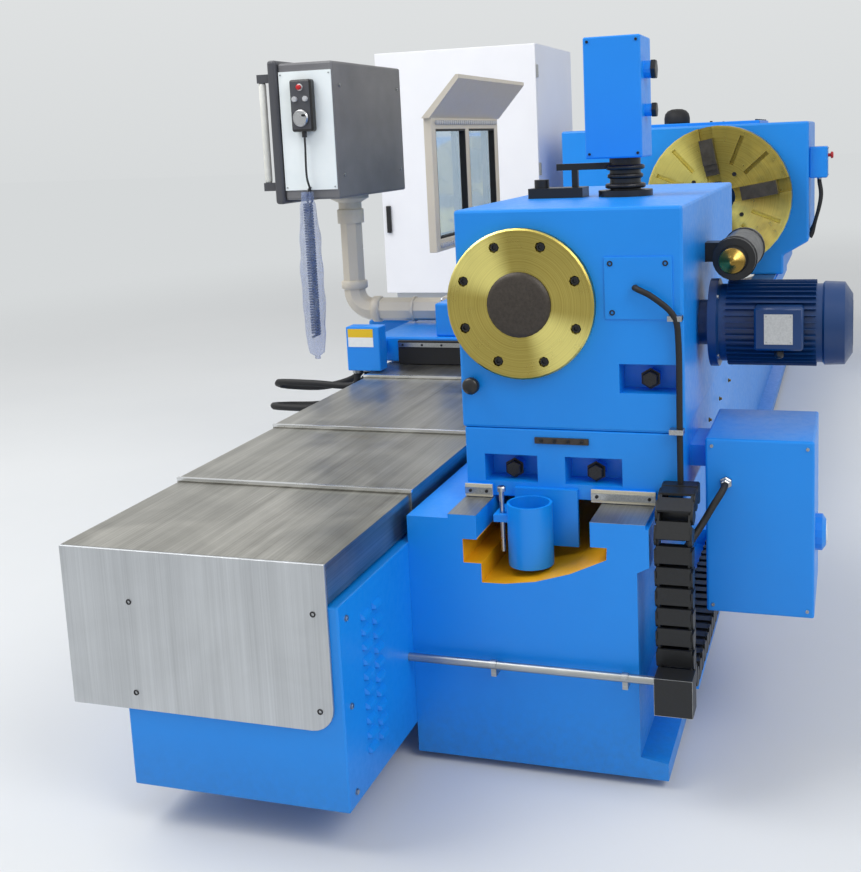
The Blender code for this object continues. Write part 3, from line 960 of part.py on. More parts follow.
def along(path, distance):
    """Point and direction at a distance along a flat path."""
    for (ax, az_), (bx, bz) in zip(path, path[1:]):
        length = math.hypot(bx - ax, bz - az_)
        if distance <= length or (bx, bz) == path[-1]:
            t = distance / length
            return (ax + (bx - ax) * t, az_ + (bz - az_) * t), ((bx - ax) / length, (bz - az_) / length)
        distance -= length


total = sum(math.hypot(b[0] - a[0], b[1] - a[1]) for a, b in zip(centre_line, centre_line[1:]))
links = round(total / PITCH)
outer_side = []
inner_side = []
for i in range(links):
    for part_of_link, half in ((0.0, CHAIN_T / 2), (0.80, CHAIN_T / 2), (0.80, CHAIN_T / 2 - 0.006), (1.0, CHAIN_T / 2 - 0.006)):
        (x, z), (dx, dz) = along(centre_line, min((i + part_of_link) * total / links, total - 1e-6))
        outer_side.append((x - dz * half, z + dx * half))
        inner_side.append((x + dz * half, z - dx * half))
chain = plate("drag_chain", "Y", CHAIN_Y[0], CHAIN_Y[1], outer_side + inner_side[::-1])
paint(chain, BLACK, 0.5)
join(bed, boxes("chain_tray", [((CHAIN_END - 0.06, CHAIN_OUT - 0.06), (BED_SIDE - 0.004, CHAIN_Y[1]),
                                (CHAIN_LOW - CHAIN_T / 2 - 0.012, CHAIN_LOW - CHAIN_T / 2 - GAP))]),
     boxes("chain_anchor", [((CHAIN_END - 0.04, CHAIN_END), (BED_SIDE - 0.004, CHAIN_Y[1]),
                             (CHAIN_LOW - CHAIN_T / 2 - 0.004, CHAIN_LOW + CHAIN_T / 2))]))
PIPE_AT = (2.480, 0.27)
pipe = rod("conduit_pipe", "Y", (PIPE_AT[0], 0, PIPE_AT[1]), 0.0095, CASING_Y[1] + GAP, 0.33, 12)
join(pipe, boxes("conduit_block", [((PIPE_AT[0] - 0.024, PIPE_AT[0] + 0.030), (0.322, 0.405), (0.205, 0.290))]),
     boxes("conduit_clips", [((BED_X1 + GAP, PIPE_AT[0] + 0.004), (y - 0.006, y + 0.006), (PIPE_AT[1] - 0.026, PIPE_AT[1] - 0.004))
                             for y in (-0.045, 0.255)]))
paint(pipe, STEEL, 0.3, 1.0)
hose_route = [(tx1 + GAP, 0.264, 1.106), (tx1 + 0.016, 0.266, 1.106), (tx1 + 0.026, 0.305, 1.088), (tx1 + 0.022, 0.350, 1.045),
              (tx1 + 0.015, 0.358, 0.98), (tx1 + 0.015, 0.358, 0.82), (tx1 + 0.015, 0.358, 0.70),
              (tx1 + 0.015, 0.358, CHAIN_TOP + CHAIN_T / 2 + GAP)]
tail_hose = tube("tail_hose", square_ends(smooth_path(hose_route, 20), (1, 0, 0), (0, 0, -1)), 0.007, 2)
paint(tail_hose, BLACK, 0.5)

# everything that rides with a joint hangs from an empty on its axis
saddle_group = [saddle, skirt_tail, apron, *loops]
slide_group = [slide, guard, glass, arm]
tail_group = [tail_base, tail, flange, disc, bracket, post, tail_box, motor, cylinder, hydraulic, tail_hose]
carrier("carriage_slide_axis", ((SADDLE_X[0] + SADDLE_X[1]) / 2, COVER_Y, rail_top), *saddle_group)
carrier("cross_slide_axis", (TURRET_AT[0], TURRET_AT[1], SADDLE_Z[1]), *slide_group)
carrier("tailstock_slide_axis", (tx0, 0, WAY_Z), *tail_group)
carrier("quill_axis", (tx0, 0, SPINDLE_Z), quill)
carrier("spindle_axis", (cx[1], 0, SPINDLE_Z), chuck)
carrier("z_screw_axis", (0, COVER_Y, SCREW_Z), screw)
carrier("x_screw_axis", (TURRET_AT[0], 0, X_SCREW_Z), x_screw)
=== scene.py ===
import json
import math
import bpy
import bmesh
from mathutils import Matrix, Vector

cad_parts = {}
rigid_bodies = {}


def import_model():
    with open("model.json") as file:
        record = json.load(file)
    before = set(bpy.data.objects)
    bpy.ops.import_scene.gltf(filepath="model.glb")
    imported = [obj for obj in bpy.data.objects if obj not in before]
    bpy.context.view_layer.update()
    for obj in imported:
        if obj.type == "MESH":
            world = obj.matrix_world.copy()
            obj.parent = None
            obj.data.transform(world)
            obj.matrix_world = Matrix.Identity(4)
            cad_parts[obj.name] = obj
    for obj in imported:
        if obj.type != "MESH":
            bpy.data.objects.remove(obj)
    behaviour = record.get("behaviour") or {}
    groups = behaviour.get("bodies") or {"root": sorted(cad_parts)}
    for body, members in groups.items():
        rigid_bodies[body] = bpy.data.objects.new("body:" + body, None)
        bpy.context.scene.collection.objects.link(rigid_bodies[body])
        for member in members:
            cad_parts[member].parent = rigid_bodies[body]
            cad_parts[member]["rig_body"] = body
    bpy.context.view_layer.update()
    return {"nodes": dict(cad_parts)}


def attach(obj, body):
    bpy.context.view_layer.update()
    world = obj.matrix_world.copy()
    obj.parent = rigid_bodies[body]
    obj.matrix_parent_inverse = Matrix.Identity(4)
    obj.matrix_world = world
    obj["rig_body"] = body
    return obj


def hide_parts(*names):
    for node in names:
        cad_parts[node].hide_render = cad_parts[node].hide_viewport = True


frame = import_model()
nodes = frame["nodes"]

# Photographer's place: beyond the tail end of the machine, a little to the rear side and above the covers.
# The lens is slightly raised and shifted, as in a picture that was cropped from a wider one.
eye = Vector((4.8484, 0.7200, 1.4402))
yaw, pitch, roll = 0.3098, 0.1614, -0.0420
ahead = Vector((-math.cos(pitch) * math.cos(yaw), -math.cos(pitch) * math.sin(yaw), -math.sin(pitch)))
right = ahead.cross(Vector((0, 0, 1))).normalized()
over = right.cross(ahead)
right, over = (right * math.cos(roll) + over * math.sin(roll), over * math.cos(roll) - right * math.sin(roll))
camera = bpy.data.objects.new("camera", bpy.data.cameras.new("camera"))
bpy.context.scene.collection.objects.link(camera)
camera.matrix_world = Matrix.Translation(eye) @ Matrix((right, over, -ahead)).transposed().to_4x4()
camera.data.sensor_width = 36.0
camera.data.lens = 48.26
camera.data.shift_x = -0.06
camera.data.shift_y = -0.12
bpy.context.scene.camera = camera
bpy.context.scene.view_settings.view_transform = "Standard"


# Workshop floor: pale sealed concrete, swept clean, with faint trowel clouds. It is a stage, not part of the
# lathe. Every finish below is built the same way: one function turns hex to linear, one adds a node.
def rgb(code):
    """Linear colour of an sRGB hex value."""
    part = [int(code[i:i + 2], 16) / 255 for i in (0, 2, 4)]
    return (*[c / 12.92 if c <= 0.04045 else ((c + 0.055) / 1.055) ** 2.4 for c in part], 1.0)


def put(tree, kind, values=None, **settings):
    """Add a node: settings are its own, values go to its inputs as numbers or as links."""
    made = tree.nodes.new(kind)
    for key, value in settings.items():
        setattr(made, key, value)
    for key, value in (values or {}).items():
        if isinstance(value, bpy.types.NodeSocket):
            tree.links.new(value, made.inputs[key])
        else:
            made.inputs[key].default_value = value
    return made


def finish(name, rough, metal=0.0, **constants):
    """Start a finish: its material, tree, shader and the object coordinates in metres."""
    mat = bpy.data.materials.new(name)
    mat.use_nodes = True
    shader = mat.node_tree.nodes["Principled BSDF"]
    shader.inputs["Roughness"].default_value = rough
    shader.inputs["Metallic"].default_value = metal
    for key, value in constants.items():
        shader.inputs[key.replace("_", " ")].default_value = value
    return mat, mat.node_tree, shader, put(mat.node_tree, "ShaderNodeTexCoord").outputs["Object"]


def dress(mat, *names):
    """Give CAD nodes a finish in place of their plain one."""
    for name in names:
        for slot in nodes[name].material_slots:
            slot.material = mat


concrete, tree, shader, place = finish("sealed_concrete", 0.55)
cloud = put(tree, "ShaderNodeTexNoise", {"Vector": place, "Scale": 0.7, "Detail": 6.0, "Roughness": 0.6})
tone = put(tree, "ShaderNodeMixRGB", {"Fac": cloud.outputs["Fac"], "Color1": rgb("D3D6D8"),
                                      "Color2": rgb("DDDFE0")})
tree.links.new(tone.outputs["Color"], shader.inputs["Base Color"])
away = put(tree, "ShaderNodeVectorMath", {0: place, 1: (0.65, 1.0, 0.0)}, operation="MULTIPLY").outputs[0]
away = put(tree, "ShaderNodeVectorMath", {0: away}, operation="LENGTH").outputs["Value"]
fade = put(tree, "ShaderNodeMapRange", {"Value": away, "From Min": 2.8, "From Max": 9.0},
           interpolation_type="SMOOTHSTEP").outputs[0]
veil = put(tree, "ShaderNodeEmission", {"Color": rgb("D6D9DA"), "Strength": 1.0})
seen = put(tree, "ShaderNodeMath", {0: fade, 1: put(tree, "ShaderNodeLightPath").outputs["Is Camera Ray"]},
           operation="MULTIPLY")
both = put(tree, "ShaderNodeMixShader", {0: seen.outputs[0], 1: shader.outputs[0], 2: veil.outputs[0]})
tree.links.new(both.outputs[0], next(n for n in tree.nodes if n.type == "OUTPUT_MATERIAL").inputs["Surface"])
ground = bpy.data.meshes.new("floor")
ground.from_pydata([(-60, -60, 0), (60, -60, 0), (60, 60, 0), (-60, 60, 0)], [], [(0, 1, 2, 3)])
ground.materials.append(concrete)
floor = bpy.data.objects.new("floor", ground)
bpy.context.scene.collection.objects.link(floor)

# Light: an even pale sky all round with one broad soft lamp high over the operator's side and one over the
# rear. What the camera and the metal see of the sky is a pale backdrop.
world = bpy.data.worlds.new("studio")
bpy.context.scene.world = world
world.use_nodes = True
tree = world.node_tree
tree.nodes.clear()
rays = put(tree, "ShaderNodeLightPath")
seen = put(tree, "ShaderNodeMath", {0: rays.outputs["Is Camera Ray"], 1: rays.outputs["Is Glossy Ray"]},
           operation="MAXIMUM")
seen = put(tree, "ShaderNodeMath", {0: seen.outputs[0], 1: rays.outputs["Is Transmission Ray"]},
           operation="MAXIMUM")
sky = put(tree, "ShaderNodeBackground", {"Color": rgb("FFFFFF"), "Strength": 0.62})
height = put(tree, "ShaderNodeSeparateXYZ",
             {"Vector": put(tree, "ShaderNodeTexCoord").outputs["Generated"]}).outputs["Z"]
rise = put(tree, "ShaderNodeMapRange", {"Value": height, "From Min": -0.05, "From Max": 0.55})
wall = put(tree, "ShaderNodeMixRGB", {"Fac": rise.outputs[0], "Color1": rgb("D6D9DA"),
                                      "Color2": rgb("F1F2F2")})
back = put(tree, "ShaderNodeBackground", {"Color": wall.outputs["Color"], "Strength": 1.0})
both = put(tree, "ShaderNodeMixShader", {0: seen.outputs[0], 1: sky.outputs[0], 2: back.outputs[0]})
put(tree, "ShaderNodeOutputWorld", {"Surface": both.outputs[0]})
for name, spot, aim, energy, size in (("overhead_lamp", (2.5, -3.5, 6.0), (0.3, -0.4, 0.6), 260, 4.0),
                                      ("rear_lamp", (4.5, 4.0, 5.0), (0.5, 0.0, 0.8), 150, 3.5)):
    lamp = bpy.data.lights.new(name, "AREA")
    lamp.energy = energy
    lamp.size = size
    holder = bpy.data.objects.new(name, lamp)
    bpy.context.scene.collection.objects.link(holder)
    holder.location = spot
    holder.rotation_mode = "QUATERNION"
    holder.rotation_quaternion = (Vector(aim) - Vector(spot)).to_track_quat("-Z", "Y")


# Hoses and leads: black rubber over wire, matt with a faint moulding grain, each fixed at both ends.
# The apron's two conduits stand out in stiff loops; the tailstock's hose runs down its edge into the chain.
def smooth_path(points, count):
    """Evenly spaced points on a smooth curve through the given ones."""
    pts = [Vector(p) for p in points]
    pts = [2 * pts[0] - pts[1], *pts, 2 * pts[-1] - pts[-2]]
    dense = []
    for a, b, c, d in zip(pts, pts[1:], pts[2:], pts[3:]):
        for i in range(24):
            t = i / 24
            dense.append(0.5 * (2 * b + (c - a) * t + (2 * a - 5 * b + 4 * c - d) * t ** 2
                                + (3 * b - a - 3 * c + d) * t ** 3))
    dense.append(pts[-2])
    lengths = [0.0]
    for a, b in zip(dense, dense[1:]):
        lengths.append(lengths[-1] + (b - a).length)
    out = []
    for i in range(count):
        want = lengths[-1] * i / (count - 1)
        k = min(max(j for j, s in enumerate(lengths) if s <= want + 1e-9), len(dense) - 2)
        part = (want - lengths[k]) / max(lengths[k + 1] - lengths[k], 1e-9)
        out.append(dense[k].lerp(dense[k + 1], min(part, 1.0)))
    return out


def lead(name, points, radius, mat, body, sides=3):
    """A round hose along points as a curve of one open spline, with its real length."""
    curve = bpy.data.curves.new(name, "CURVE")
    curve.dimensions = "3D"
    curve.bevel_depth = radius
    curve.bevel_resolution = sides
    curve.use_fill_caps = True
    spline = curve.splines.new("POLY")
    spline.points.add(len(points) - 1)
    for spot, co in zip(spline.points, points):
        spot.co = (*co, 1.0)
    spline.use_smooth = True
    curve.materials.append(mat)
    ob = bpy.data.objects.new(name, curve)
    bpy.context.scene.collection.objects.link(ob)
    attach(ob, body)
    return ob, sum((Vector(b) - Vector(a)).length for a, b in zip(points, points[1:]))


rubber, tree, shader, place = finish("black_neoprene", 0.6, Specular_IOR_Level=0.4)
grain = put(tree, "ShaderNodeTexNoise", {"Vector": place, "Scale": 420.0, "Detail": 3.0})
tone = put(tree, "ShaderNodeMixRGB", {"Fac": grain.outputs["Fac"], "Color1": rgb("0F0F10"),
                                      "Color2": rgb("242426")})
tree.links.new(tone.outputs["Color"], shader.inputs["Base Color"])
bump = put(tree, "ShaderNodeBump", {"Height": grain.outputs["Fac"], "Strength": 0.25, "Distance": 0.0006})
tree.links.new(bump.outputs["Normal"], shader.inputs["Normal"])
loops = (
    ("conduit_loop_upper", [(1.066, -0.93, 0.6557), (1.066, -0.937, 0.622), (1.062, -1.0, 0.590),
                            (1.055, -1.15, 0.594), (1.03, -1.29, 0.590), (1.0, -1.322, 0.577),
                            (0.97, -1.29, 0.563), (0.955, -1.15, 0.562), (0.93, -1.03, 0.60),
                            (0.905, -0.985, 0.685), (0.90, -0.9503, 0.705)]),
    ("conduit_loop_lower", [(1.10, -0.955, 0.6557), (1.10, -0.962, 0.60), (1.095, -1.03, 0.532),
                            (1.085, -1.15, 0.509), (1.06, -1.30, 0.503), (1.02, -1.333, 0.498),
                            (0.98, -1.30, 0.492), (0.95, -1.15, 0.497), (0.90, -1.03, 0.545),
                            (0.85, -0.985, 0.675), (0.845, -0.9503, 0.705)]))
for name, route in loops:
    path = smooth_path(route, 40)
    ob, long = lead(name + "_hose", path, 0.0125, rubber, "carriage")
    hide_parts(name)
hose_path = smooth_path([(2.3003, 0.264, 1.106), (2.316, 0.266, 1.106), (2.326, 0.305, 1.088),
                         (2.322, 0.350, 1.045), (2.315, 0.358, 0.98), (2.315, 0.358, 0.82),
                         (2.315, 0.358, 0.70), (2.315, 0.358, 0.6673)], 40)
ob, long = lead("tailstock_hose", hose_path, 0.007, rubber, "tailstock")
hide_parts("tail_hose")


# Handwheel lead: a straight stretch out of the unit, then a long curly cord that hangs in a clear bag and
# comes back up through its own middle into the side of the pendant. Polyurethane, black.
COIL = Vector((0.985, -1.160, 0.0))
TURNS, COIL_MID, COIL_TOP, COIL_LOW = 50, 0.0146, 1.243, 0.764
coil = []
for i in range(TURNS * 14 + 1):
    a = math.radians(75) - 2 * math.pi * i / 14
    grow = 1.0 if i < TURNS * 14 - 10 else 0.93
    coil.append(COIL + Vector((COIL_MID * grow * math.cos(a), COIL_MID * grow * math.sin(a),
                               COIL_TOP - (COIL_TOP - COIL_LOW) * i / (TURNS * 14))))
enter = [Vector(p) for p in ((0.977, -1.160, 1.4787), (0.977, -1.160, 1.460), (0.9772, -1.160, 1.44),
                             (0.980, -1.160, 1.40), (0.9815, -1.160, 1.36), (0.982, -1.158, 1.33),
                             (0.9775, -1.153, 1.300), (0.9740, -1.149, 1.275), (0.9775, -1.1460, 1.254))]
leave = [COIL + Vector(p) for p in ((0.0122, 0.0060, 0.7615), (0.0125, -0.0040, 0.7580),
                                    (0.0085, -0.0115, 0.7545), (0.0010, -0.0125, 0.7530),
                                    (-0.0050, -0.0085, 0.7560), (-0.0050, -0.0020, 0.7650),
                                    (-0.0015, 0, 0.7770), (0, 0, 0.80), (0, 0, 0.9), (0, 0, 1.0),
                                    (0, 0, 1.15), (0, 0, 1.240), (-0.0008, 0, 1.262),
                                    (-0.0045, 0, 1.280), (-0.0115, 0, 1.2905), (-0.020, 0, 1.296),
                                    (-0.0305, 0, 1.2985))]
lead_path = smooth_path(enter + coil[:3], 90) + coil[3:-3] + smooth_path(coil[-3:] + leave, 300)
curly, tree, shader, place = finish("curly_cord_polyurethane", 0.38)
sheen = put(tree, "ShaderNodeTexNoise", {"Vector": place, "Scale": 160.0, "Detail": 2.0})
tone = put(tree, "ShaderNodeMixRGB", {"Fac": sheen.outputs["Fac"], "Color1": rgb("101012"),
                                      "Color2": rgb("26272B")})
tree.links.new(tone.outputs["Color"], shader.inputs["Base Color"])
ob, long = lead("handwheel_lead", lead_path, 0.004, curly, "pendant", 2)
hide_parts("handwheel_cable", "handwheel_curly_cord")

# Clear bag round the curly cord: thin blue-tinted film, gathered at the top, creased down its length and
# closed at the bottom. It is what keeps shop dust off the new cord.
BAG_LOW, BAG_TOP = 0.672, 1.285
rings, around = 54, 48
verts, faces = [], []
for i in range(rings + 1):
    t = i / rings
    z = BAG_LOW + (BAG_TOP - BAG_LOW) * t
    wide = 0.0225 + 0.0205 * math.sin(math.pi * min(1.0, t * 1.02)) ** 0.7 * (1.0 - 0.28 * t)
    if t > 0.93:
        wide = 0.0225
    if t < 0.02:
        wide = 0.010
    for k in range(around):
        a = 2 * math.pi * k / around
        crease = (0.0030 * math.sin(5 * a + 7.0 * t) * math.sin(3.1 * math.pi * t) +
                  0.0016 * math.sin(11 * a - 19.0 * t))
        crease += 0.0018 * math.sin(31.0 * t + 2.0 * a)
        r = max(wide + crease * (1.0 - max(0.0, (t - 0.85) / 0.15)), 0.0205 if t > 0.12 else 0.004)
        verts.append((COIL.x + r * math.cos(a), COIL.y + r * math.sin(a), z))
for i in range(rings):
    for k in range(around):
        n = (k + 1) % around
        faces.append((i * around + k, i * around + n, (i + 1) * around + n, (i + 1) * around + k))
faces.append(tuple(range(around - 1, -1, -1)))
mesh = bpy.data.meshes.new("cord_bag_film")
mesh.from_pydata(verts, [], faces)
for face in mesh.polygons:
    face.use_smooth = True
film, tree, shader, place = finish("blue_tinted_film", 0.16, Alpha=0.34, IOR=1.45)
crumple = put(tree, "ShaderNodeTexVoronoi", {"Vector": place, "Scale": 46.0}, feature="DISTANCE_TO_EDGE")
fold = put(tree, "ShaderNodeTexNoise", {"Vector": place, "Scale": 30.0, "Detail": 5.0, "Distortion": 1.4})
tone = put(tree, "ShaderNodeMixRGB", {"Fac": fold.outputs["Fac"], "Color1": rgb("2F5FB4"),
                                      "Color2": rgb("CFDDF4")})
tree.links.new(tone.outputs["Color"], shader.inputs["Base Color"])
lift = put(tree, "ShaderNodeMath", {0: fold.outputs["Fac"], 1: crumple.outputs["Distance"]}, operation="ADD")
bump = put(tree, "ShaderNodeBump", {"Height": lift.outputs[0], "Strength": 0.7, "Distance": 0.004})
tree.links.new(bump.outputs["Normal"], shader.inputs["Normal"])
mesh.materials.append(film)
bag = bpy.data.objects.new("cord_bag_film", mesh)
bpy.context.scene.collection.objects.link(bag)
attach(bag, "pendant")
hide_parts("cord_bag")


# Workpiece bed: one iron casting, sprayed bright blue enamel, with two ground ways and a yellow trough.
# The enamel has a fine peel and slightly clouded gloss; ways carry long grinding marks; feet are dusty.
def enamel(name, colour, deep, rough=0.38, peel=0.10):
    """Sprayed machine enamel over filler: soft clouds of tone, orange peel of about 4 mm, low wear near the floor."""
    mat, tree, shader, place = finish(name, rough)
    cloud = put(tree, "ShaderNodeTexNoise", {"Vector": place, "Scale": 2.2, "Detail": 5.0, "Roughness": 0.62})
    tone = put(tree, "ShaderNodeMixRGB", {"Fac": cloud.outputs["Fac"], "Color1": rgb(deep),
                                          "Color2": rgb(colour)})
    dust = put(tree, "ShaderNodeTexNoise", {"Vector": place, "Scale": 55.0, "Detail": 4.0, "Roughness": 0.7})
    low = put(tree, "ShaderNodeSeparateXYZ", {"Vector": place}).outputs["Z"]
    near = put(tree, "ShaderNodeMapRange", {"Value": low, "From Min": 0.22, "From Max": 0.0, "To Min": 0.0,
                                            "To Max": 0.55})
    grime = put(tree, "ShaderNodeMath", {0: near.outputs[0], 1: dust.outputs["Fac"]}, operation="MULTIPLY")
    final = put(tree, "ShaderNodeMixRGB", {"Fac": grime.outputs[0], "Color1": tone.outputs["Color"],
                                           "Color2": rgb("3A4A52")})
    gloss = put(tree, "ShaderNodeMapRange", {"Value": dust.outputs["Fac"], "From Min": 0.3, "From Max": 0.75,
                                             "To Min": rough - 0.07, "To Max": rough + 0.10})
    skin = put(tree, "ShaderNodeTexNoise", {"Vector": place, "Scale": 240.0, "Detail": 2.0})
    wave = put(tree, "ShaderNodeTexNoise", {"Vector": place, "Scale": 9.0, "Detail": 2.0})
    relief = put(tree, "ShaderNodeMath", {0: wave.outputs["Fac"], 1: 16.0, 2: skin.outputs["Fac"]},
                 operation="MULTIPLY_ADD")
    bump = put(tree, "ShaderNodeBump", {"Height": relief.outputs[0], "Strength": peel, "Distance": 0.0003})
    tree.links.new(final.outputs["Color"], shader.inputs["Base Color"])
    tree.links.new(gloss.outputs[0], shader.inputs["Roughness"])
    tree.links.new(bump.outputs["Normal"], shader.inputs["Normal"])
    return mat


def inside(tree, value, low, high):
    """1 where a coordinate lies between two values."""
    more = put(tree, "ShaderNodeMath", {0: value, 1: low}, operation="GREATER_THAN")
    less = put(tree, "ShaderNodeMath", {0: value, 1: high}, operation="LESS_THAN")
    return put(tree, "ShaderNodeMath", {0: more.outputs[0], 1: less.outputs[0]},
               operation="MULTIPLY").outputs[0]


blue = enamel("machine_blue_enamel", "0C92F4", "0682E2", peel=0.06)
bed_finish = blue.copy()
bed_finish.name = "bed_enamel_and_ground_ways"
tree = bed_finish.node_tree
shader = tree.nodes["Principled BSDF"]
place = next(n for n in tree.nodes if n.type == "TEX_COORD").outputs["Object"]
split = put(tree, "ShaderNodeSeparateXYZ", {"Vector": place})
trough = put(tree, "ShaderNodeMath", {0: inside(tree, split.outputs["Y"], -0.1174, 0.2156),
                                      1: inside(tree, split.outputs["Z"], 0.44, 0.556)},
             operation="MULTIPLY").outputs[0]
open_end = inside(tree, split.outputs["X"], -3.0995, 2.4495)
trough = put(tree, "ShaderNodeMath", {0: trough, 1: open_end}, operation="MULTIPLY").outputs[0]
way = put(tree, "ShaderNodeMath", {0: split.outputs["Z"], 1: 0.6095}, operation="GREATER_THAN").outputs[0]
old = shader.inputs["Base Color"].links[0].from_socket
chip = put(tree, "ShaderNodeTexNoise", {"Vector": place, "Scale": 14.0, "Detail": 6.0, "Roughness": 0.7})
yellow = put(tree, "ShaderNodeMixRGB", {"Fac": chip.outputs["Fac"], "Color1": rgb("D99A0C"),
                                        "Color2": rgb("F0B41C")})
mixed = put(tree, "ShaderNodeMixRGB", {"Fac": trough, "Color1": old, "Color2": yellow.outputs["Color"]})
long_marks = put(tree, "ShaderNodeMapping", {"Vector": place, "Scale": (2.0, 320.0, 320.0)})
grind = put(tree, "ShaderNodeTexNoise", {"Vector": long_marks.outputs[0], "Scale": 1.0, "Detail": 4.0})
steel = put(tree, "ShaderNodeMixRGB", {"Fac": grind.outputs["Fac"], "Color1": rgb("8E9194"),
                                       "Color2": rgb("C3C5C6")})
mixed = put(tree, "ShaderNodeMixRGB", {"Fac": way, "Color1": mixed.outputs["Color"],
                                       "Color2": steel.outputs["Color"]})
tree.links.new(mixed.outputs["Color"], shader.inputs["Base Color"])
tree.links.new(way, shader.inputs["Metallic"])
dress(bed_finish, "workpiece_bed")


# Tool bed, its end casing, pedestal and the other blue castings: the same enamel, brushed on over filler. The
# rails and screw bearings under the covers are ground steel, so the tool bed changes finish above its table.
tool_finish = blue.copy()
tool_finish.name = "tool_bed_enamel_and_rails"
tree = tool_finish.node_tree
shader = tree.nodes["Principled BSDF"]
place = next(n for n in tree.nodes if n.type == "TEX_COORD").outputs["Object"]
split = put(tree, "ShaderNodeSeparateXYZ", {"Vector": place})
rails = put(tree, "ShaderNodeMath", {0: inside(tree, split.outputs["Z"], 0.5005, 0.5305),
                                     1: inside(tree, split.outputs["X"], -1.595, 2.295)},
            operation="MULTIPLY").outputs[0]
old = shader.inputs["Base Color"].links[0].from_socket
mixed = put(tree, "ShaderNodeMixRGB", {"Fac": rails, "Color1": old, "Color2": rgb("A9ABAD")})
tree.links.new(mixed.outputs["Color"], shader.inputs["Base Color"])
tree.links.new(rails, shader.inputs["Metallic"])
dress(tool_finish, "tool_bed")
dress(blue, "tool_bed_end_casing", "headstock_pedestal", "headstock_body", "junction_box", "carriage_saddle",
      "apron_box", "cross_slide", "tailstock_base", "tailstock_body", "pawl_bracket", "tail_top_box",
      "hydraulic_box")


# Telescopic covers: stainless sheet channels of 3 mm, brushed along their length, with a wiper lip at each
# end. The end plate is the same sheet, ground across and finger marked.
def brushed(name, dark, pale, along, rough=0.30, bright=0.0):
    """Brushed stainless steel: fine long marks in one direction over soft blotches of handling and coolant."""
    mat, tree, shader, place = finish(name, rough, 1.0)
    stretch = {"X": (1.5, 260.0, 260.0), "Y": (260.0, 1.5, 260.0), "Z": (260.0, 260.0, 1.5)}[along]
    fine = put(tree, "ShaderNodeMapping", {"Vector": place, "Scale": stretch})
    marks = put(tree, "ShaderNodeTexNoise", {"Vector": fine.outputs[0], "Scale": 1.0, "Detail": 5.0,
                                             "Roughness": 0.65})
    coarse = put(tree, "ShaderNodeMapping", {"Vector": place, "Scale": tuple(v ** 0.62 for v in stretch)})
    bands = put(tree, "ShaderNodeTexNoise", {"Vector": coarse.outputs[0], "Scale": 1.0, "Detail": 3.0})
    blot = put(tree, "ShaderNodeTexNoise", {"Vector": place, "Scale": 4.5, "Detail": 6.0, "Roughness": 0.6,
                                            "Distortion": 0.6})
    both = put(tree, "ShaderNodeMath", {0: marks.outputs["Fac"], 1: bands.outputs["Fac"]}, operation="ADD")
    both = put(tree, "ShaderNodeMath", {0: both.outputs[0], 1: blot.outputs["Fac"]}, operation="ADD")
    level = put(tree, "ShaderNodeMapRange", {"Value": both.outputs[0], "From Min": 1.12 - bright,
                                             "From Max": 1.88 - bright})
    tone = put(tree, "ShaderNodeMixRGB", {"Fac": level.outputs[0], "Color1": rgb(dark), "Color2": rgb(pale)})
    gloss = put(tree, "ShaderNodeMapRange", {"Value": blot.outputs["Fac"], "From Min": 0.3, "From Max": 0.7,
                                             "To Min": rough - 0.05, "To Max": rough + 0.12})
    bump = put(tree, "ShaderNodeBump", {"Height": marks.outputs["Fac"], "Strength": 0.12, "Distance": 0.0004})
    tree.links.new(tone.outputs["Color"], shader.inputs["Base Color"])
    tree.links.new(gloss.outputs[0], shader.inputs["Roughness"])
    tree.links.new(bump.outputs["Normal"], shader.inputs["Normal"])
    return mat


sheet_steel = brushed("brushed_stainless_sheet", "86847D", "BDBBB4", "X", 0.34)
dress(sheet_steel, "tail_cover_fixed", "tail_cover_1", "tail_cover_2", "tail_cover_3", "head_cover_fixed",
      "head_cover_1", "head_cover_2")
strip = brushed("polished_lip_strip", "C9CBCC", "F2F3F3", "Y", 0.22)
dress(brushed("ground_stainless_end_plate", "B6B9BC", "D2D5D8", "Z", 0.46), "cover_end_plate")
dress(brushed("conduit_tube_steel", "8C8E8E", "C4C6C4", "Y", 0.30), "conduit_pipe")


# Screws: black-oxide socket heads and zinc hexagon heads. One master of each, set on points by Geometry Nodes
# with its own turn and size, and then made one plain mesh for each body.
repeat = bpy.data.node_groups.new("set_on_points", "GeometryNodeTree")
repeat.is_modifier = True
socket_of = {}
for label, kind in (("Geometry", "NodeSocketGeometry"), ("Piece", "NodeSocketObject"),
                    ("Turn", "NodeSocketRotation"), ("Size", "NodeSocketFloat"),
                    ("Finish", "NodeSocketMaterial")):
    socket_of[label] = repeat.interface.new_socket(name=label, in_out="INPUT", socket_type=kind).identifier
repeat.interface.new_socket(name="Geometry", in_out="OUTPUT", socket_type="NodeSocketGeometry")
given = put(repeat, "NodeGroupInput").outputs
piece = put(repeat, "GeometryNodeObjectInfo", {"Object": given["Piece"]})
spread_out = put(repeat, "GeometryNodeInstanceOnPoints",
                 {"Points": given["Geometry"], "Instance": piece.outputs["Geometry"],
                                                          "Rotation": given["Turn"], "Scale": given["Size"]})
real = put(repeat, "GeometryNodeRealizeInstances", {"Geometry": spread_out.outputs["Instances"]})
coated = put(repeat, "GeometryNodeSetMaterial", {"Geometry": real.outputs["Geometry"],
                                                 "Material": given["Finish"]})
put(repeat, "NodeGroupOutput", {"Geometry": coated.outputs["Geometry"]})
TOWARD = {"+X": (0, math.pi / 2, 0), "-X": (0, -math.pi / 2, 0), "+Y": (-math.pi / 2, 0, 0),
          "-Y": (math.pi / 2, 0, 0), "+Z": (0, 0, 0), "-Z": (math.pi, 0, 0)}


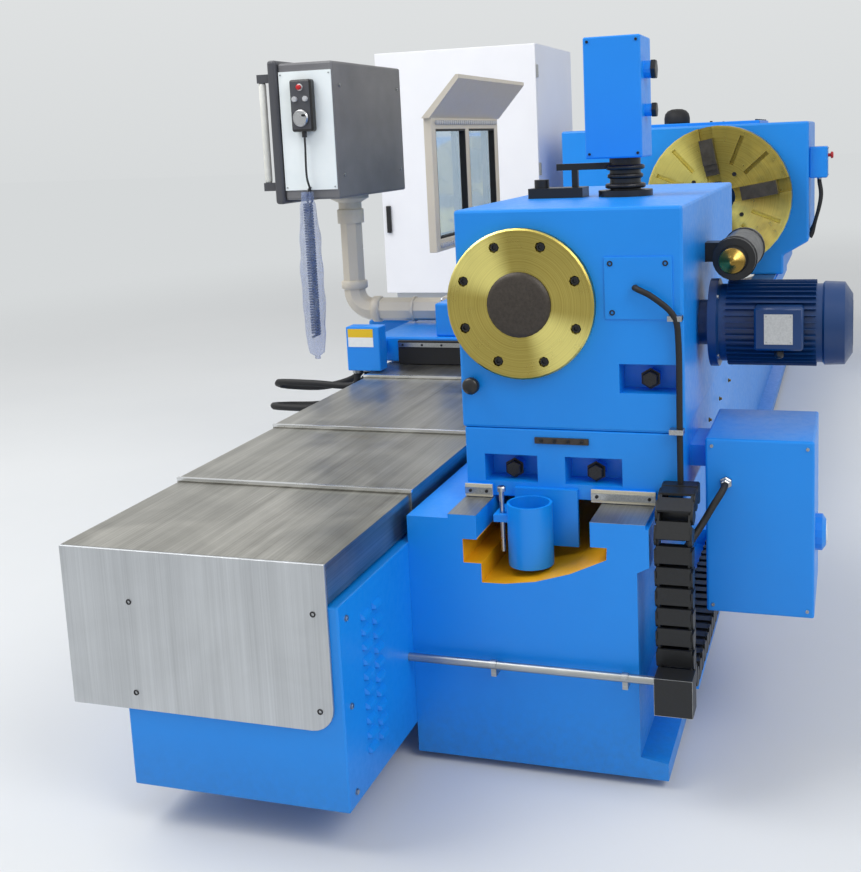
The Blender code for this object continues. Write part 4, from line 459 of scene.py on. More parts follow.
def set_out(name, master, spots, toward, size, mat, body):
    """Copies of a master on each spot, as one plain mesh that rides on a body."""
    dots = bpy.data.meshes.new(name)
    dots.from_pydata([tuple(s) for s in spots], [], [])
    ob = bpy.data.objects.new(name + "_dots", dots)
    bpy.context.scene.collection.objects.link(ob)
    mod = ob.modifiers.new("set_out", "NODES")
    mod.node_group = repeat
    mod[socket_of["Piece"]] = master
    mod[socket_of["Turn"]] = TOWARD[toward] if isinstance(toward, str) else toward
    mod[socket_of["Size"]] = size
    mod[socket_of["Finish"]] = mat
    made = bpy.data.meshes.new_from_object(ob.evaluated_get(bpy.context.evaluated_depsgraph_get()))
    bpy.data.objects.remove(ob, do_unlink=True)
    made.name = name
    if not made.materials:
        made.materials.append(mat)
    result = bpy.data.objects.new(name, made)
    bpy.context.scene.collection.objects.link(result)
    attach(result, body)
    return result


def lathe_mesh(name, profile, sides, close=True):
    """A turned master about +Z from (radius, height) points, listed from the bottom centre to the top centre."""
    verts, faces = [], []
    for r, z in profile:
        for k in range(sides):
            a = 2 * math.pi * k / sides
            verts.append((r * math.cos(a), r * math.sin(a), z))
    for i in range(len(profile) - 1):
        for k in range(sides):
            n = (k + 1) % sides
            faces.append((i * sides + k, i * sides + n, (i + 1) * sides + n, (i + 1) * sides + k))
    if close:
        faces.append(tuple(range(sides - 1, -1, -1)))
        faces.append(tuple((len(profile) - 1) * sides + k for k in range(sides)))
    mesh = bpy.data.meshes.new(name)
    mesh.from_pydata(verts, [], faces)
    ob = bpy.data.objects.new(name, mesh)
    bpy.context.scene.collection.objects.link(ob)
    return ob


socket_head = lathe_mesh("socket_head", [(1.0, -0.02), (1.0, 0.75), (0.9, 0.9), (0.55, 0.9), (0.5, 0.42),
                                         (0.05, 0.38)], 12)
hex_head = lathe_mesh("hex_head", [(1.35, -0.02), (1.35, 0.12), (1.05, 0.12), (1.1, 0.16), (1.1, 0.72),
                                   (0.95, 0.85), (0.3, 0.86)], 6)
oxide, tree, shader, place = finish("black_oxide_steel", 0.38, 0.8)
rub = put(tree, "ShaderNodeTexNoise", {"Vector": place, "Scale": 300.0, "Detail": 3.0})
tone = put(tree, "ShaderNodeMixRGB", {"Fac": rub.outputs["Fac"], "Color1": rgb("1B1B1C"),
                                      "Color2": rgb("4A4A4C")})
tree.links.new(tone.outputs["Color"], shader.inputs["Base Color"])
zinc, tree, shader, place = finish("zinc_plated_steel", 0.30, 1.0)
rub = put(tree, "ShaderNodeTexNoise", {"Vector": place, "Scale": 260.0, "Detail": 3.0})
tone = put(tree, "ShaderNodeMixRGB", {"Fac": rub.outputs["Fac"], "Color1": rgb("86898C"),
                                      "Color2": rgb("C9CBCC")})
tree.links.new(tone.outputs["Color"], shader.inputs["Base Color"])
set_out("end_plate_screws", socket_head,
        [(2.8458, y, z) for y, z in ((-0.728, 0.513), (-0.301, 0.522), (-0.730, 0.309), (-0.299, 0.314))],
        "+X", 0.0065, oxide, "base")
set_out("casing_screws", hex_head, [(x, -0.2503, z) for x in (2.325, 2.805) for z in (0.12, 0.31, 0.50)],
        "+Y", 0.0055, zinc, "base")


# Louvres of the end casing: pressed steel hoods over each slot, in two columns of ten, the casing's own blue.
hood_faces = [(0, 1, 5, 4), (1, 2, 6, 5), (2, 3, 7, 6), (4, 5, 9, 8), (5, 6, 10, 9), (6, 7, 11, 10),
              (0, 4, 8), (3, 11, 7)]
hood_verts = []
for z, out in ((0.0135, 0.0), (0.006, 0.0080), (-0.001, 0.0095)):
    hood_verts += [(-0.020, z, 0.0), (-0.017, z, out), (0.017, z, out), (0.020, z, 0.0)]
hood = bpy.data.meshes.new("louvre_hood")
hood.from_pydata(hood_verts, [], hood_faces)
hood = bpy.data.objects.new("louvre_hood", hood)
bpy.context.scene.collection.objects.link(hood)
solid = hood.modifiers.new("sheet", "SOLIDIFY")
solid.thickness = 0.0012
solid.offset = 1.0
slots = [(x, -0.2501, 0.165 + 0.297 * i / 9 + 0.0045) for x in (2.655, 2.715) for i in range(10)]
set_out("casing_louvres", hood, slots, (-math.pi / 2, math.pi, 0), 1.0, blue, "base")


# Bright turned steel: the spindle screws, quill, live centre, pawl rod and tool post, machined all over,
# with fine rings from the tool and a thin film of oil. Over the rings each carries a painted highlight:
# bright and dark fans round its axis, set into the colour.
def turned_steel(name, dark, pale, rough, axis, centre, ring_mm, highlight_turn=0.0):
    """Machined round work: rings about an axis, a painted highlight of bright and dark fans round it, and cross-wise
    shine.
    """
    mat, tree, shader, place = finish(name, rough, 1.0, Anisotropic=0.75)
    off = put(tree, "ShaderNodeVectorMath", {0: place, 1: centre}, operation="SUBTRACT").outputs[0]
    flat = tuple(0.0 if a == axis else 1.0 for a in "XYZ")
    plane = put(tree, "ShaderNodeVectorMath", {0: off, 1: flat}, operation="MULTIPLY").outputs[0]
    radius = put(tree, "ShaderNodeVectorMath", {0: plane}, operation="LENGTH").outputs["Value"]
    wobble = put(tree, "ShaderNodeTexNoise", {"Vector": place, "Scale": 22.0, "Detail": 3.0})
    count = put(tree, "ShaderNodeMath", {0: radius, 1: 1000.0 / ring_mm, 2: wobble.outputs["Fac"]},
                operation="MULTIPLY_ADD")
    rings = put(tree, "ShaderNodeTexNoise", {"W": count.outputs[0], "Scale": 1.0, "Detail": 4.0,
                                             "Roughness": 0.7}, noise_dimensions="1D")
    # Painted highlight and painted shade: two bright and two dark fans round the axis, laid into the colour over the
    # rings.
    part = put(tree, "ShaderNodeSeparateXYZ", {"Vector": plane})
    first, second = [part.outputs[a] for a in "XYZ" if a != axis]
    angle = put(tree, "ShaderNodeMath", {0: second, 1: first}, operation="ARCTAN2").outputs[0]
    highlight_fans = put(tree, "ShaderNodeMath", {0: angle, 1: 2.0, 2: highlight_turn}, operation="MULTIPLY_ADD").outputs[0]
    highlight_fans = put(tree, "ShaderNodeMath", {0: highlight_fans}, operation="SINE").outputs[0]
    highlight_fans = put(tree, "ShaderNodeMapRange", {"Value": highlight_fans, "From Min": 0.25, "From Max": 1.0},
                interpolation_type="SMOOTHSTEP").outputs[0]
    fine = put(tree, "ShaderNodeMath", {0: rings.outputs["Fac"], 1: 0.5, 2: -0.05},
               operation="MULTIPLY_ADD").outputs[0]
    highlight_fans = put(tree, "ShaderNodeMath", {0: highlight_fans, 1: 0.62, 2: fine}, operation="MULTIPLY_ADD").outputs[0]
    level = put(tree, "ShaderNodeMapRange", {"Value": highlight_fans, "From Min": 0.0, "From Max": 0.85})
    tone = put(tree, "ShaderNodeMixRGB", {"Fac": level.outputs[0], "Color1": rgb(dark), "Color2": rgb(pale)})
    spin = put(tree, "ShaderNodeVectorMath", {0: plane, 1: tuple(1.0 if a == axis else 0.0 for a in "XYZ")},
               operation="CROSS_PRODUCT")
    spin = put(tree, "ShaderNodeVectorMath", {0: spin.outputs[0]}, operation="NORMALIZE")
    bump = put(tree, "ShaderNodeBump", {"Height": rings.outputs["Fac"], "Strength": 0.18, "Distance": 0.0005})
    gloss = put(tree, "ShaderNodeMapRange", {"Value": wobble.outputs["Fac"], "From Min": 0.3, "From Max": 0.7,
                                             "To Min": rough - 0.05, "To Max": rough + 0.08})
    tree.links.new(tone.outputs["Color"], shader.inputs["Base Color"])
    tree.links.new(gloss.outputs[0], shader.inputs["Roughness"])
    tree.links.new(bump.outputs["Normal"], shader.inputs["Normal"])
    tree.links.new(spin.outputs[0], shader.inputs["Tangent"])
    return mat


bright = turned_steel("turned_bright_steel", "8A8C8F", "D2D3D4", 0.24, "X", (0, 0, 1.07), 2.5)
dress(bright, "quill", "live_centre")
dress(turned_steel("rolled_ball_screw_steel", "77797B", "C2C4C6", 0.25, "X", (0, -0.58, 0.565), 1.5),
      "z_ball_screw")
dress(turned_steel("short_ball_screw_steel", "77797B", "C2C4C6", 0.25, "Y", (0.5, 0, 0.70), 1.5),
      "x_ball_screw")
dress(turned_steel("pawl_rod_steel", "8A8C8F", "D2D3D4", 0.28, "Z", (2.366, -0.046, 0), 1.0), "pawl_rod")
dress(brushed("ground_turret_steel", "6E7072", "B4B6B8", "X", 0.28), "tool_turret")

# Tailstock rear flange and the chuck: steel with a yellow zinc passivation, faced on a lathe, with fine rings
# under a painted highlight that runs out from the middle in bright and dark fans. The disc in the middle is
# blackened iron.
gold = turned_steel("yellow_zinc_flange", "97833A", "F2E68C", 0.30, "X", (0, 0, 1.07), 3.0, 3.1416)
dress(gold, "tailstock_flange")
dress(turned_steel("yellow_zinc_chuck", "8C7730", "EBDD7C", 0.32, "X", (0, 0, 1.07), 6.0, 2.8), "chuck_body")
# Chuck jaws: steel with a mottled tone, painted dark brown as the shade of the slots they lie in.
jaw, tree, shader, place = finish("shade_darkened_jaw_steel", 0.34, 0.9)
shaded_mottle = put(tree, "ShaderNodeTexNoise", {"Vector": place, "Scale": 18.0, "Detail": 6.0, "Roughness": 0.7})
tone = put(tree, "ShaderNodeMixRGB", {"Fac": shaded_mottle.outputs["Fac"], "Color1": rgb("2C2925"),
                                      "Color2": rgb("6F6A61")})
tree.links.new(tone.outputs["Color"], shader.inputs["Base Color"])
dress(jaw, "chuck_jaw_1", "chuck_jaw_2", "chuck_jaw_3", "chuck_jaw_4")
iron, tree, shader, place = finish("blackened_cast_iron", 0.45, 0.35)
sand = put(tree, "ShaderNodeTexNoise", {"Vector": place, "Scale": 130.0, "Detail": 5.0, "Roughness": 0.7})
tone = put(tree, "ShaderNodeMixRGB", {"Fac": sand.outputs["Fac"], "Color1": rgb("241F1C"),
                                      "Color2": rgb("514A43")})
bump = put(tree, "ShaderNodeBump", {"Height": sand.outputs["Fac"], "Strength": 0.4, "Distance": 0.0012})
tree.links.new(tone.outputs["Color"], shader.inputs["Base Color"])
tree.links.new(bump.outputs["Normal"], shader.inputs["Normal"])
dress(iron, "tailstock_disc")
ring = [math.radians(22.5 + 45 * i) for i in range(8)]
set_out("flange_bolts", socket_head,
        [(2.3105, 0.1415 * math.cos(a), 1.07 + 0.1415 * math.sin(a)) for a in ring],
        "+X", 0.0105, oxide, "tailstock")
set_out("tail_cover_screws", socket_head,
        [(2.2995, y, z) for y, z in ((0.207, 1.16), (0.33, 1.16), (0.21, 1.05))],
        "+X", 0.0065, oxide, "tailstock")
set_out("chuck_face_screws", socket_head,
        [(-1.8008, 0.16 * math.cos(math.radians(a)),
          1.07 + 0.16 * math.sin(math.radians(a))) for a in (55, 145, 235, 325)],
        "+X", 0.012, oxide, "chuck")

# Tailstock face: a thin inspection plate beside the flange in the body's blue, the raised joint band at mid
# height, a black clamp knob, and pale felt wipers held to the ways by steel strips with two screws each.
def slab(name, x, y, z, mat, body, edge=0.0015, segments=2):
    """A small plate or block with softly broken edges, at its place in its own mesh."""
    bm = bmesh.new()
    bmesh.ops.create_cube(bm, size=1.0)
    bmesh.ops.scale(bm, vec=(x[1] - x[0], y[1] - y[0], z[1] - z[0]), verts=bm.verts)
    bmesh.ops.translate(bm, vec=((x[0] + x[1]) / 2, (y[0] + y[1]) / 2, (z[0] + z[1]) / 2), verts=bm.verts)
    bmesh.ops.bevel(bm, geom=bm.edges[:], offset=edge, segments=segments, profile=0.6, affect="EDGES")
    mesh = bpy.data.meshes.new(name)
    bm.to_mesh(mesh)
    bm.free()
    mesh.materials.append(mat)
    ob = bpy.data.objects.new(name, mesh)
    bpy.context.scene.collection.objects.link(ob)
    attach(ob, body)
    return ob


def round_piece(name, profile, sides, toward, at, mat, body, smooth=True):
    """A turned piece from (radius, height) points about an axis through a place."""
    ob = lathe_mesh(name, profile, sides)
    turn = Matrix.Rotation(0, 4, "X")
    for axis, value in zip("XYZ", TOWARD[toward]):
        turn = Matrix.Rotation(value, 4, axis) @ turn
    ob.data.transform(Matrix.Translation(at) @ turn)
    for face in ob.data.polygons:
        face.use_smooth = smooth and len(face.vertices) == 4
    ob.data.materials.append(mat)
    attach(ob, body)
    return ob


felt, tree, shader, place = finish("oiled_wiper_felt", 0.85)
wool = put(tree, "ShaderNodeTexNoise", {"Vector": place, "Scale": 500.0, "Detail": 4.0, "Roughness": 0.8})
tone = put(tree, "ShaderNodeMixRGB", {"Fac": wool.outputs["Fac"], "Color1": rgb("A39B82"),
                                      "Color2": rgb("E6E2D2")})
tree.links.new(tone.outputs["Color"], shader.inputs["Base Color"])
phenolic, tree, shader, place = finish("black_phenolic", 0.32)
swirl = put(tree, "ShaderNodeTexNoise", {"Vector": place, "Scale": 90.0, "Detail": 3.0})
tone = put(tree, "ShaderNodeMixRGB", {"Fac": swirl.outputs["Fac"], "Color1": rgb("0E0E0F"),
                                      "Color2": rgb("222224")})
tree.links.new(tone.outputs["Color"], shader.inputs["Base Color"])
for name, y in (("front", (-0.151, -0.083)), ("rear", (0.153, 0.302))):
    slab("way_wiper_" + name, (2.3125, 2.3165), y, (0.6112, 0.642), felt, "tailstock")
    slab("way_wiper_strip_" + name, (2.3165, 2.3185), y, (0.618, 0.634), zinc, "tailstock",
         0.0006)
    set_out("wiper_screws_" + name, socket_head, [(2.318, y[0] + 0.014, 0.626), (2.318, y[1] - 0.014, 0.626)],
            "+X", 0.004, oxide, "tailstock")
slab("inspection_plate", (2.2995, 2.3035), (0.193, 0.345), (1.035, 1.175), blue, "tailstock")
round_piece("clamp_knob", [(0.004, 0), (0.006, 0.008), (0.017, 0.010), (0.020, 0.016), (0.020, 0.026),
                           (0.016, 0.032), (0.004, 0.033)],
            24, "+X", (2.2998, -0.124, 0.879), phenolic, "tailstock")
slab("joint_key", (2.2995, 2.305), (0.02, 0.148), (0.742, 0.757), iron, "tailstock")
set_out("joint_key_screws", socket_head, [(2.3045, y, 0.7495) for y in (0.036, 0.068, 0.100, 0.132)], "+X",
        0.0045, oxide, "tailstock")
set_out("pocket_nuts", hex_head, [(2.268, -0.04, 0.672), (2.268, 0.157, 0.672), (2.268, 0.288, 0.895)], "+X",
        0.018, oxide, "tailstock")
for z in (1.04, 0.785):
    slab("hose_clip_%d" % round(z * 1000), (2.2998, 2.326), (0.335, 0.372 - 0.0045), (z - 0.006, z + 0.006),
         zinc, "tailstock", 0.0015)


# Lip strips: a folded strip of polished stainless steel, 1.5 mm, is spot welded round the top edge of each
# cover's wiper lip. It is what shows as a bright line across the covers.
for name, lip, toward, level, body in (("tail_lip_strip_1", 2.375, 1, 1, "tail_cover_a"),
                                       ("tail_lip_strip_2", 1.850, 1, 2, "tail_cover_b"),
                                       ("tail_lip_strip_3", 1.165, 1, 3, "carriage"),
                                       ("head_lip_strip_1", -1.200, -1, 1, "head_cover_a"),
                                       ("head_lip_strip_2", -0.650, -1, 2, "carriage")):
    half = 0.311 + 0.004 * level
    top = 0.628 + 0.008 * level
    slab(name, sorted((lip - 0.009 * toward, lip + 0.0015 * toward)),
         (-0.58 - half - 0.0008, -0.58 + half + 0.0008), (top - 0.0062, top + 0.0014), strip, body,
         0.0006)

# Drag chain: moulded nylon links on a 45 mm pitch, each with two waisted side plates and two cross bars, that
# hang from the tailstock's end, turn down over the bed's end and lie back in the tray.
CHAIN_MID, CHAIN_WIDE, CHAIN_PITCH = 0.359, 0.082, 0.045
nylon, tree, shader, place = finish("black_glass_filled_nylon", 0.46)
fibre = put(tree, "ShaderNodeTexNoise", {"Vector": place, "Scale": 210.0, "Detail": 4.0, "Roughness": 0.7})
tone = put(tree, "ShaderNodeMixRGB", {"Fac": fibre.outputs["Fac"], "Color1": rgb("090A0B"),
                                      "Color2": rgb("1C1E21")})
bump = put(tree, "ShaderNodeBump", {"Height": fibre.outputs["Fac"], "Strength": 0.3, "Distance": 0.0008})
tree.links.new(tone.outputs["Color"], shader.inputs["Base Color"])
tree.links.new(bump.outputs["Normal"], shader.inputs["Normal"])
bm = bmesh.new()


def prism(bm, outline, y0, y1):
    """A plate between two Y values with an (X, Z) outline."""
    low = [bm.verts.new((x, y0, z)) for x, z in outline]
    high = [bm.verts.new((x, y1, z)) for x, z in outline]
    bm.faces.new(low)
    bm.faces.new(high[::-1])
    for i in range(len(outline)):
        n = (i + 1) % len(outline)
        bm.faces.new((low[n], low[i], high[i], high[n]))


for side in (-1, 1):
    outer = side * CHAIN_WIDE / 2
    inner = side * (CHAIN_WIDE / 2 - 0.0055)
    deep = side * (CHAIN_WIDE / 2 - 0.010)
    front = [(0.024 + 0.0195 * math.cos(math.radians(a)),
              0.0195 * math.sin(math.radians(a))) for a in range(-80, 81, 20)]
    prism(bm, [(0.002, -0.0215), (0.018, -0.0215), *front, (0.018, 0.0215), (0.002, 0.0215)],
          min(outer, inner), max(outer, inner))
    rear = [(-0.018 + 0.017 * math.cos(math.radians(a)),
             0.017 * math.sin(math.radians(a))) for a in range(100, 261, 20)]
    prism(bm, [(0.006, 0.017), *rear, (0.006, -0.017)], min(inner, deep), max(inner, deep))
for z, x0, x1 in ((-0.0215, -0.002, 0.025), (0.0165, -0.008, 0.032)):
    prism(bm, [(x0, z), (x1, z), (x1 - 0.001, z + 0.005), (x0 + 0.001, z + 0.005)], -CHAIN_WIDE / 2 + 0.004,
          CHAIN_WIDE / 2 - 0.004)
mesh = bpy.data.meshes.new("chain_link")
bmesh.ops.recalc_face_normals(bm, faces=bm.faces)
bm.to_mesh(mesh)
bm.free()
link = bpy.data.objects.new("chain_link", mesh)
bpy.context.scene.collection.objects.link(link)
line = [(2.302, 0.645), (2.33, 0.645)]
line += [(2.36 + 0.07 * math.sin(math.radians(a)),
          0.575 + 0.07 * math.cos(math.radians(a))) for a in range(0, 91, 6)]
line += [(2.43, 0.575 - 0.265 * i / 10) for i in range(1, 10)]
line += [(2.36 + 0.07 * math.cos(math.radians(a)),
          0.31 - 0.07 * math.sin(math.radians(a))) for a in range(0, 91, 6)]
line += [(2.36 - 0.91 * i / 20, 0.24) for i in range(1, 20)] + [(1.465, 0.24)]
dots = bpy.data.meshes.new("chain_line")
dots.from_pydata([(x, CHAIN_MID, z) for x, z in line], [(i, i + 1) for i in range(len(line) - 1)], [])
chain_line = bpy.data.objects.new("chain_line", dots)
bpy.context.scene.collection.objects.link(chain_line)
run = bpy.data.node_groups.new("links_along_line", "GeometryNodeTree")
run.is_modifier = True
label_of = {}
for label, kind in (("Geometry", "NodeSocketGeometry"), ("Link", "NodeSocketObject"),
                    ("Pitch", "NodeSocketFloat"), ("Finish", "NodeSocketMaterial")):
    label_of[label] = run.interface.new_socket(name=label, in_out="INPUT", socket_type=kind).identifier
run.interface.new_socket(name="Geometry", in_out="OUTPUT", socket_type="NodeSocketGeometry")
given = put(run, "NodeGroupInput").outputs
as_curve = put(run, "GeometryNodeMeshToCurve", {"Mesh": given["Geometry"]})
even = put(run, "GeometryNodeResampleCurve", {"Curve": as_curve.outputs["Curve"], "Length": given["Pitch"]},
           mode="LENGTH")
one = put(run, "GeometryNodeObjectInfo", {"Object": given["Link"]})
facing = put(run, "FunctionNodeAlignRotationToVector",
             {"Vector": put(run, "GeometryNodeInputTangent").outputs[0]}, axis="X", pivot_axis="Y")
many = put(run, "GeometryNodeInstanceOnPoints", {"Points": even.outputs["Curve"],
                                                 "Instance": one.outputs["Geometry"],
                                                 "Rotation": facing.outputs[0]})
real = put(run, "GeometryNodeRealizeInstances", {"Geometry": many.outputs["Instances"]})
coated = put(run, "GeometryNodeSetMaterial", {"Geometry": real.outputs["Geometry"],
                                              "Material": given["Finish"]})
put(run, "NodeGroupOutput", {"Geometry": coated.outputs["Geometry"]})
mod = chain_line.modifiers.new("links", "NODES")
mod.node_group = run
mod[label_of["Link"]] = link
mod[label_of["Pitch"]] = CHAIN_PITCH
mod[label_of["Finish"]] = nylon
made = bpy.data.meshes.new_from_object(chain_line.evaluated_get(bpy.context.evaluated_depsgraph_get()))
bpy.data.objects.remove(chain_line, do_unlink=True)
bpy.data.objects.remove(link, do_unlink=True)
made.name = "drag_chain_links"
chain = bpy.data.objects.new("drag_chain_links", made)
bpy.context.scene.collection.objects.link(chain)
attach(chain, "tailstock")
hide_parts("drag_chain")

# Motor on the tailstock's side: cast aluminium in navy enamel with cooling ribs round the frame, a fan cowl
# with a punched grille whose holes are black discs of painted shade, a bare aluminium rating plate with four
# rivets, and a cable gland under its terminal box.
navy = enamel("navy_motor_enamel", "0A3F78", "072D5C", 0.34, 0.06)
dress(navy, "tail_motor")
RIBS = 40
bm = bmesh.new()
prism(bm, [(-0.0011, 0.0), (0.0011, 0.0), (0.0008, 0.0115), (-0.0008, 0.0115)], 0.0, 0.205)
mesh = bpy.data.meshes.new("motor_rib")
bmesh.ops.recalc_face_normals(bm, faces=bm.faces)
bm.to_mesh(mesh)
bm.free()
verts, faces = [], []
for k in range(RIBS):
    a = 2 * math.pi * k / RIBS
    turn = Matrix.Translation((2.00, 0.436,
                               0.982)) @ Matrix.Rotation(a, 4, "Y") @ Matrix.Translation((0, 0, 0.0915))
    base = len(verts)
    verts += [turn @ v.co for v in mesh.vertices]
    faces += [[base + i for i in p.vertices] for p in mesh.polygons]
ribs = bpy.data.meshes.new("motor_ribs")
ribs.from_pydata(verts, [], faces)
ribs.materials.append(navy)
ribs = bpy.data.objects.new("motor_ribs", ribs)
bpy.context.scene.collection.objects.link(ribs)
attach(ribs, "tailstock")
alloy, tree, shader, place = finish("satin_anodised_aluminium", 0.36, 1.0)
satin = put(tree, "ShaderNodeTexNoise", {"Vector": place, "Scale": 240.0, "Detail": 4.0})
tone = put(tree, "ShaderNodeMixRGB", {"Fac": satin.outputs["Fac"], "Color1": rgb("B4B6B8"),
                                      "Color2": rgb("DFE0E1")})
tree.links.new(tone.outputs["Color"], shader.inputs["Base Color"])
slab("motor_plate", (2.1348, 2.1362), (0.528, 0.592), (0.952, 1.022), alloy, "tailstock",
     0.0004)
set_out("motor_plate_rivets", socket_head, [(2.1361, y, z) for y in (0.533, 0.587) for z in (0.957, 1.017)],
        "+X", 0.0018, zinc, "tailstock")
# The grille's holes are black discs on the cowl: painted shade where the dark inside of the cowl would show.
grille = [(2.00 + r * math.cos(a), 0.7226, 0.982 + r * math.sin(a))
          for r, n in ((0.018, 8), (0.034, 14), (0.050, 20)) for a in [2 * math.pi * i / n for i in range(n)]]
fan_hole = lathe_mesh("fan_hole", [(1.0, -0.1), (1.0, 0.14), (0.9, 0.2)], 10)
set_out("motor_fan_holes", fan_hole, grille, "+Y", 0.0042, phenolic, "tailstock")
set_out("motor_flange_bolts", hex_head,
        [(2.00 + 0.100 * math.cos(math.radians(a)), 0.4149, 0.982 + 0.100 * math.sin(math.radians(a)))
                                         for a in (45, 135, 225, 315)], "+Y", 0.0052, zinc, "tailstock")
round_piece("motor_gland", [(0.011, 0), (0.011, 0.016), (0.009, 0.022), (0.004, 0.024)], 12, "-Z",
            (2.105, 0.56, 0.9385), phenolic, "tailstock")


# Cylinder over the motor: black enamelled tube with a brass-coloured end cap and two banding rings. The blue
# hydraulic box below it has a hose that runs into the chain, and a bare rating plate.
black_enamel = enamel("black_machine_enamel", "17181A", "0E0F10", 0.36, 0.12)
dress(black_enamel, "tail_cylinder", "tail_post")
# The brass-coloured cap carries the painted highlight of bright and dark fans, like the turned steel.
brass = turned_steel("turned_brass_cap", "6A5426", "C9A758", 0.26, "X", (0, 0.455, 1.142), 2.0, 0.4)
round_piece("cylinder_cap", [(0.030, 0.0), (0.0305, 0.012), (0.028, 0.015), (0.012, 0.0155), (0.011, 0.019),
                             (0.003, 0.0195)], 32, "+X",
            (2.0995, 0.455, 1.142), brass, "tailstock")
for x in (1.79, 2.03):
    round_piece("cylinder_band_%d" % round(x * 100), [(0.050, 0), (0.0525, 0.001), (0.0525, 0.013),
                                                      (0.050, 0.014)], 32, "+X",
                (x, 0.455, 1.142), oxide, "tailstock")
box_hose = smooth_path([(2.2503, 0.452, 0.655), (2.268, 0.452, 0.655), (2.292, 0.447, 0.645),
                        (2.312, 0.428, 0.615), (2.332, 0.408, 0.582), (2.360, 0.390, 0.556),
                        (2.385, 0.378, 0.542), (2.408, 0.368, 0.534)], 30)
ob, long = lead("hydraulic_hose", box_hose, 0.008, rubber, "tailstock")
round_piece("hydraulic_fitting", [(0.014, 0), (0.014, 0.010), (0.011, 0.012), (0.011, 0.022),
                                  (0.0085, 0.024)], 6, "+X",
            (2.2498, 0.452, 0.655), zinc, "tailstock", False)
set_out("hydraulic_screws", socket_head, [(2.2498, y, z) for y in (0.420, 0.630) for z in (0.360, 0.738)],
        "+X", 0.004, zinc, "tailstock")
gauge_face, tree, shader, place = finish("gauge_enamel", 0.3)
mark = put(tree, "ShaderNodeVectorMath", {0: place, 1: (2.16, 0, 0.52)}, operation="SUBTRACT").outputs[0]
mark = put(tree, "ShaderNodeVectorMath", {0: mark, 1: (1, 0, 1)}, operation="MULTIPLY").outputs[0]
mark = put(tree, "ShaderNodeVectorMath", {0: mark}, operation="LENGTH").outputs["Value"]
mark = inside(tree, mark, 0.021, 0.025)
tone = put(tree, "ShaderNodeMixRGB", {"Fac": mark, "Color1": rgb("ECECE8"), "Color2": rgb("1C1C1E")})
tree.links.new(tone.outputs["Color"], shader.inputs["Base Color"])
round_piece("gauge_dial", [(0.027, 0), (0.0275, 0.002), (0.026, 0.003), (0.004, 0.0031)], 32, "+Y",
            (2.16, 0.6675, 0.52), gauge_face, "tailstock")
for y, r in ((1.60, 0.026), (1.50, 0.020)):
    round_piece("top_box_nut_%d" % round(y * 100), [(r, 0), (r, 0.010), (r - 0.003, 0.012), (0.008, 0.0125)],
                6, "+Y", (1.86, 0.2365, y), oxide, "tailstock", False)
set_out("top_box_screws", socket_head, [(1.9152, y, z) for y in (0.084, 0.207) for z in (1.395, 1.672)], "+X",
        0.0035, oxide, "tailstock")
for z, r in ((1.305, 0.052), (1.330, 0.046), (1.352, 0.050)):
    round_piece("post_ring_%d" % round(z * 1000), [(r - 0.004, 0), (r, 0.003), (r, 0.010),
                                                   (r - 0.004, 0.013)], 32, "+Z", (1.84, 0.16, z),
                oxide, "tailstock")

# Conduit across the bed's end: steel tube in two saddle clips, with a black junction block at the chain's
# foot.
slab("conduit_foot", (2.452, 2.5105), (0.3215, 0.4055), (0.2045, 0.2905), nylon, "base",
     0.003)
for y in (-0.045, 0.255):
    arch = [(0.012 * math.cos(math.radians(a)), 0.012 * math.sin(math.radians(a))) for a in range(0, 181, 20)]
    thin = [(0.0098 * math.cos(math.radians(a)), 0.0098 * math.sin(math.radians(a))) for a in range(180, -1,
                                                                                                    -20)]
    bm = bmesh.new()
    prism(bm, [(2.480 + x, 0.27 + z) for x, z in arch + thin], y - 0.007, y + 0.007)
    bmesh.ops.recalc_face_normals(bm, faces=bm.faces)
    mesh = bpy.data.meshes.new("clip")
    bm.to_mesh(mesh)
    bm.free()
    mesh.materials.append(zinc)
    clip = bpy.data.objects.new("conduit_clip_%d" % round(500 + y * 1000), mesh)
    bpy.context.scene.collection.objects.link(clip)
    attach(clip, "base")

# Pendant: folded steel box, textured grey, with a white printed side plate left bare, and a dark moulded
# bezel with two grab handles. The arm is thick cream-enamelled tube with a cast elbow and a bolted flange.
texture_grey, tree, shader, place = finish("textured_grey_powder_coat", 0.52)
pebble = put(tree, "ShaderNodeTexNoise", {"Vector": place, "Scale": 420.0, "Detail": 3.0})
cloud = put(tree, "ShaderNodeTexNoise", {"Vector": place, "Scale": 7.0, "Detail": 4.0})
both = put(tree, "ShaderNodeMath", {0: pebble.outputs["Fac"], 1: cloud.outputs["Fac"]}, operation="ADD")
level = put(tree, "ShaderNodeMapRange", {"Value": both.outputs[0], "From Min": 0.7, "From Max": 1.3})
tone = put(tree, "ShaderNodeMixRGB", {"Fac": level.outputs[0], "Color1": rgb("68686B"),
                                      "Color2": rgb("7C7C7E")})
bump = put(tree, "ShaderNodeBump", {"Height": pebble.outputs["Fac"], "Strength": 0.35, "Distance": 0.0008})
neck = put(tree, "ShaderNodeMath", {0: put(tree, "ShaderNodeSeparateXYZ", {"Vector": place}).outputs["Z"],
                                    1: 1.2545},
           operation="LESS_THAN").outputs[0]
tone = put(tree, "ShaderNodeMixRGB", {"Fac": neck, "Color1": tone.outputs["Color"], "Color2": rgb("CFC7B7")})
tree.links.new(tone.outputs["Color"], shader.inputs["Base Color"])
tree.links.new(bump.outputs["Normal"], shader.inputs["Normal"])
dress(texture_grey, "pendant_body")
white, tree, shader, place = finish("white_laminate_plate", 0.26)
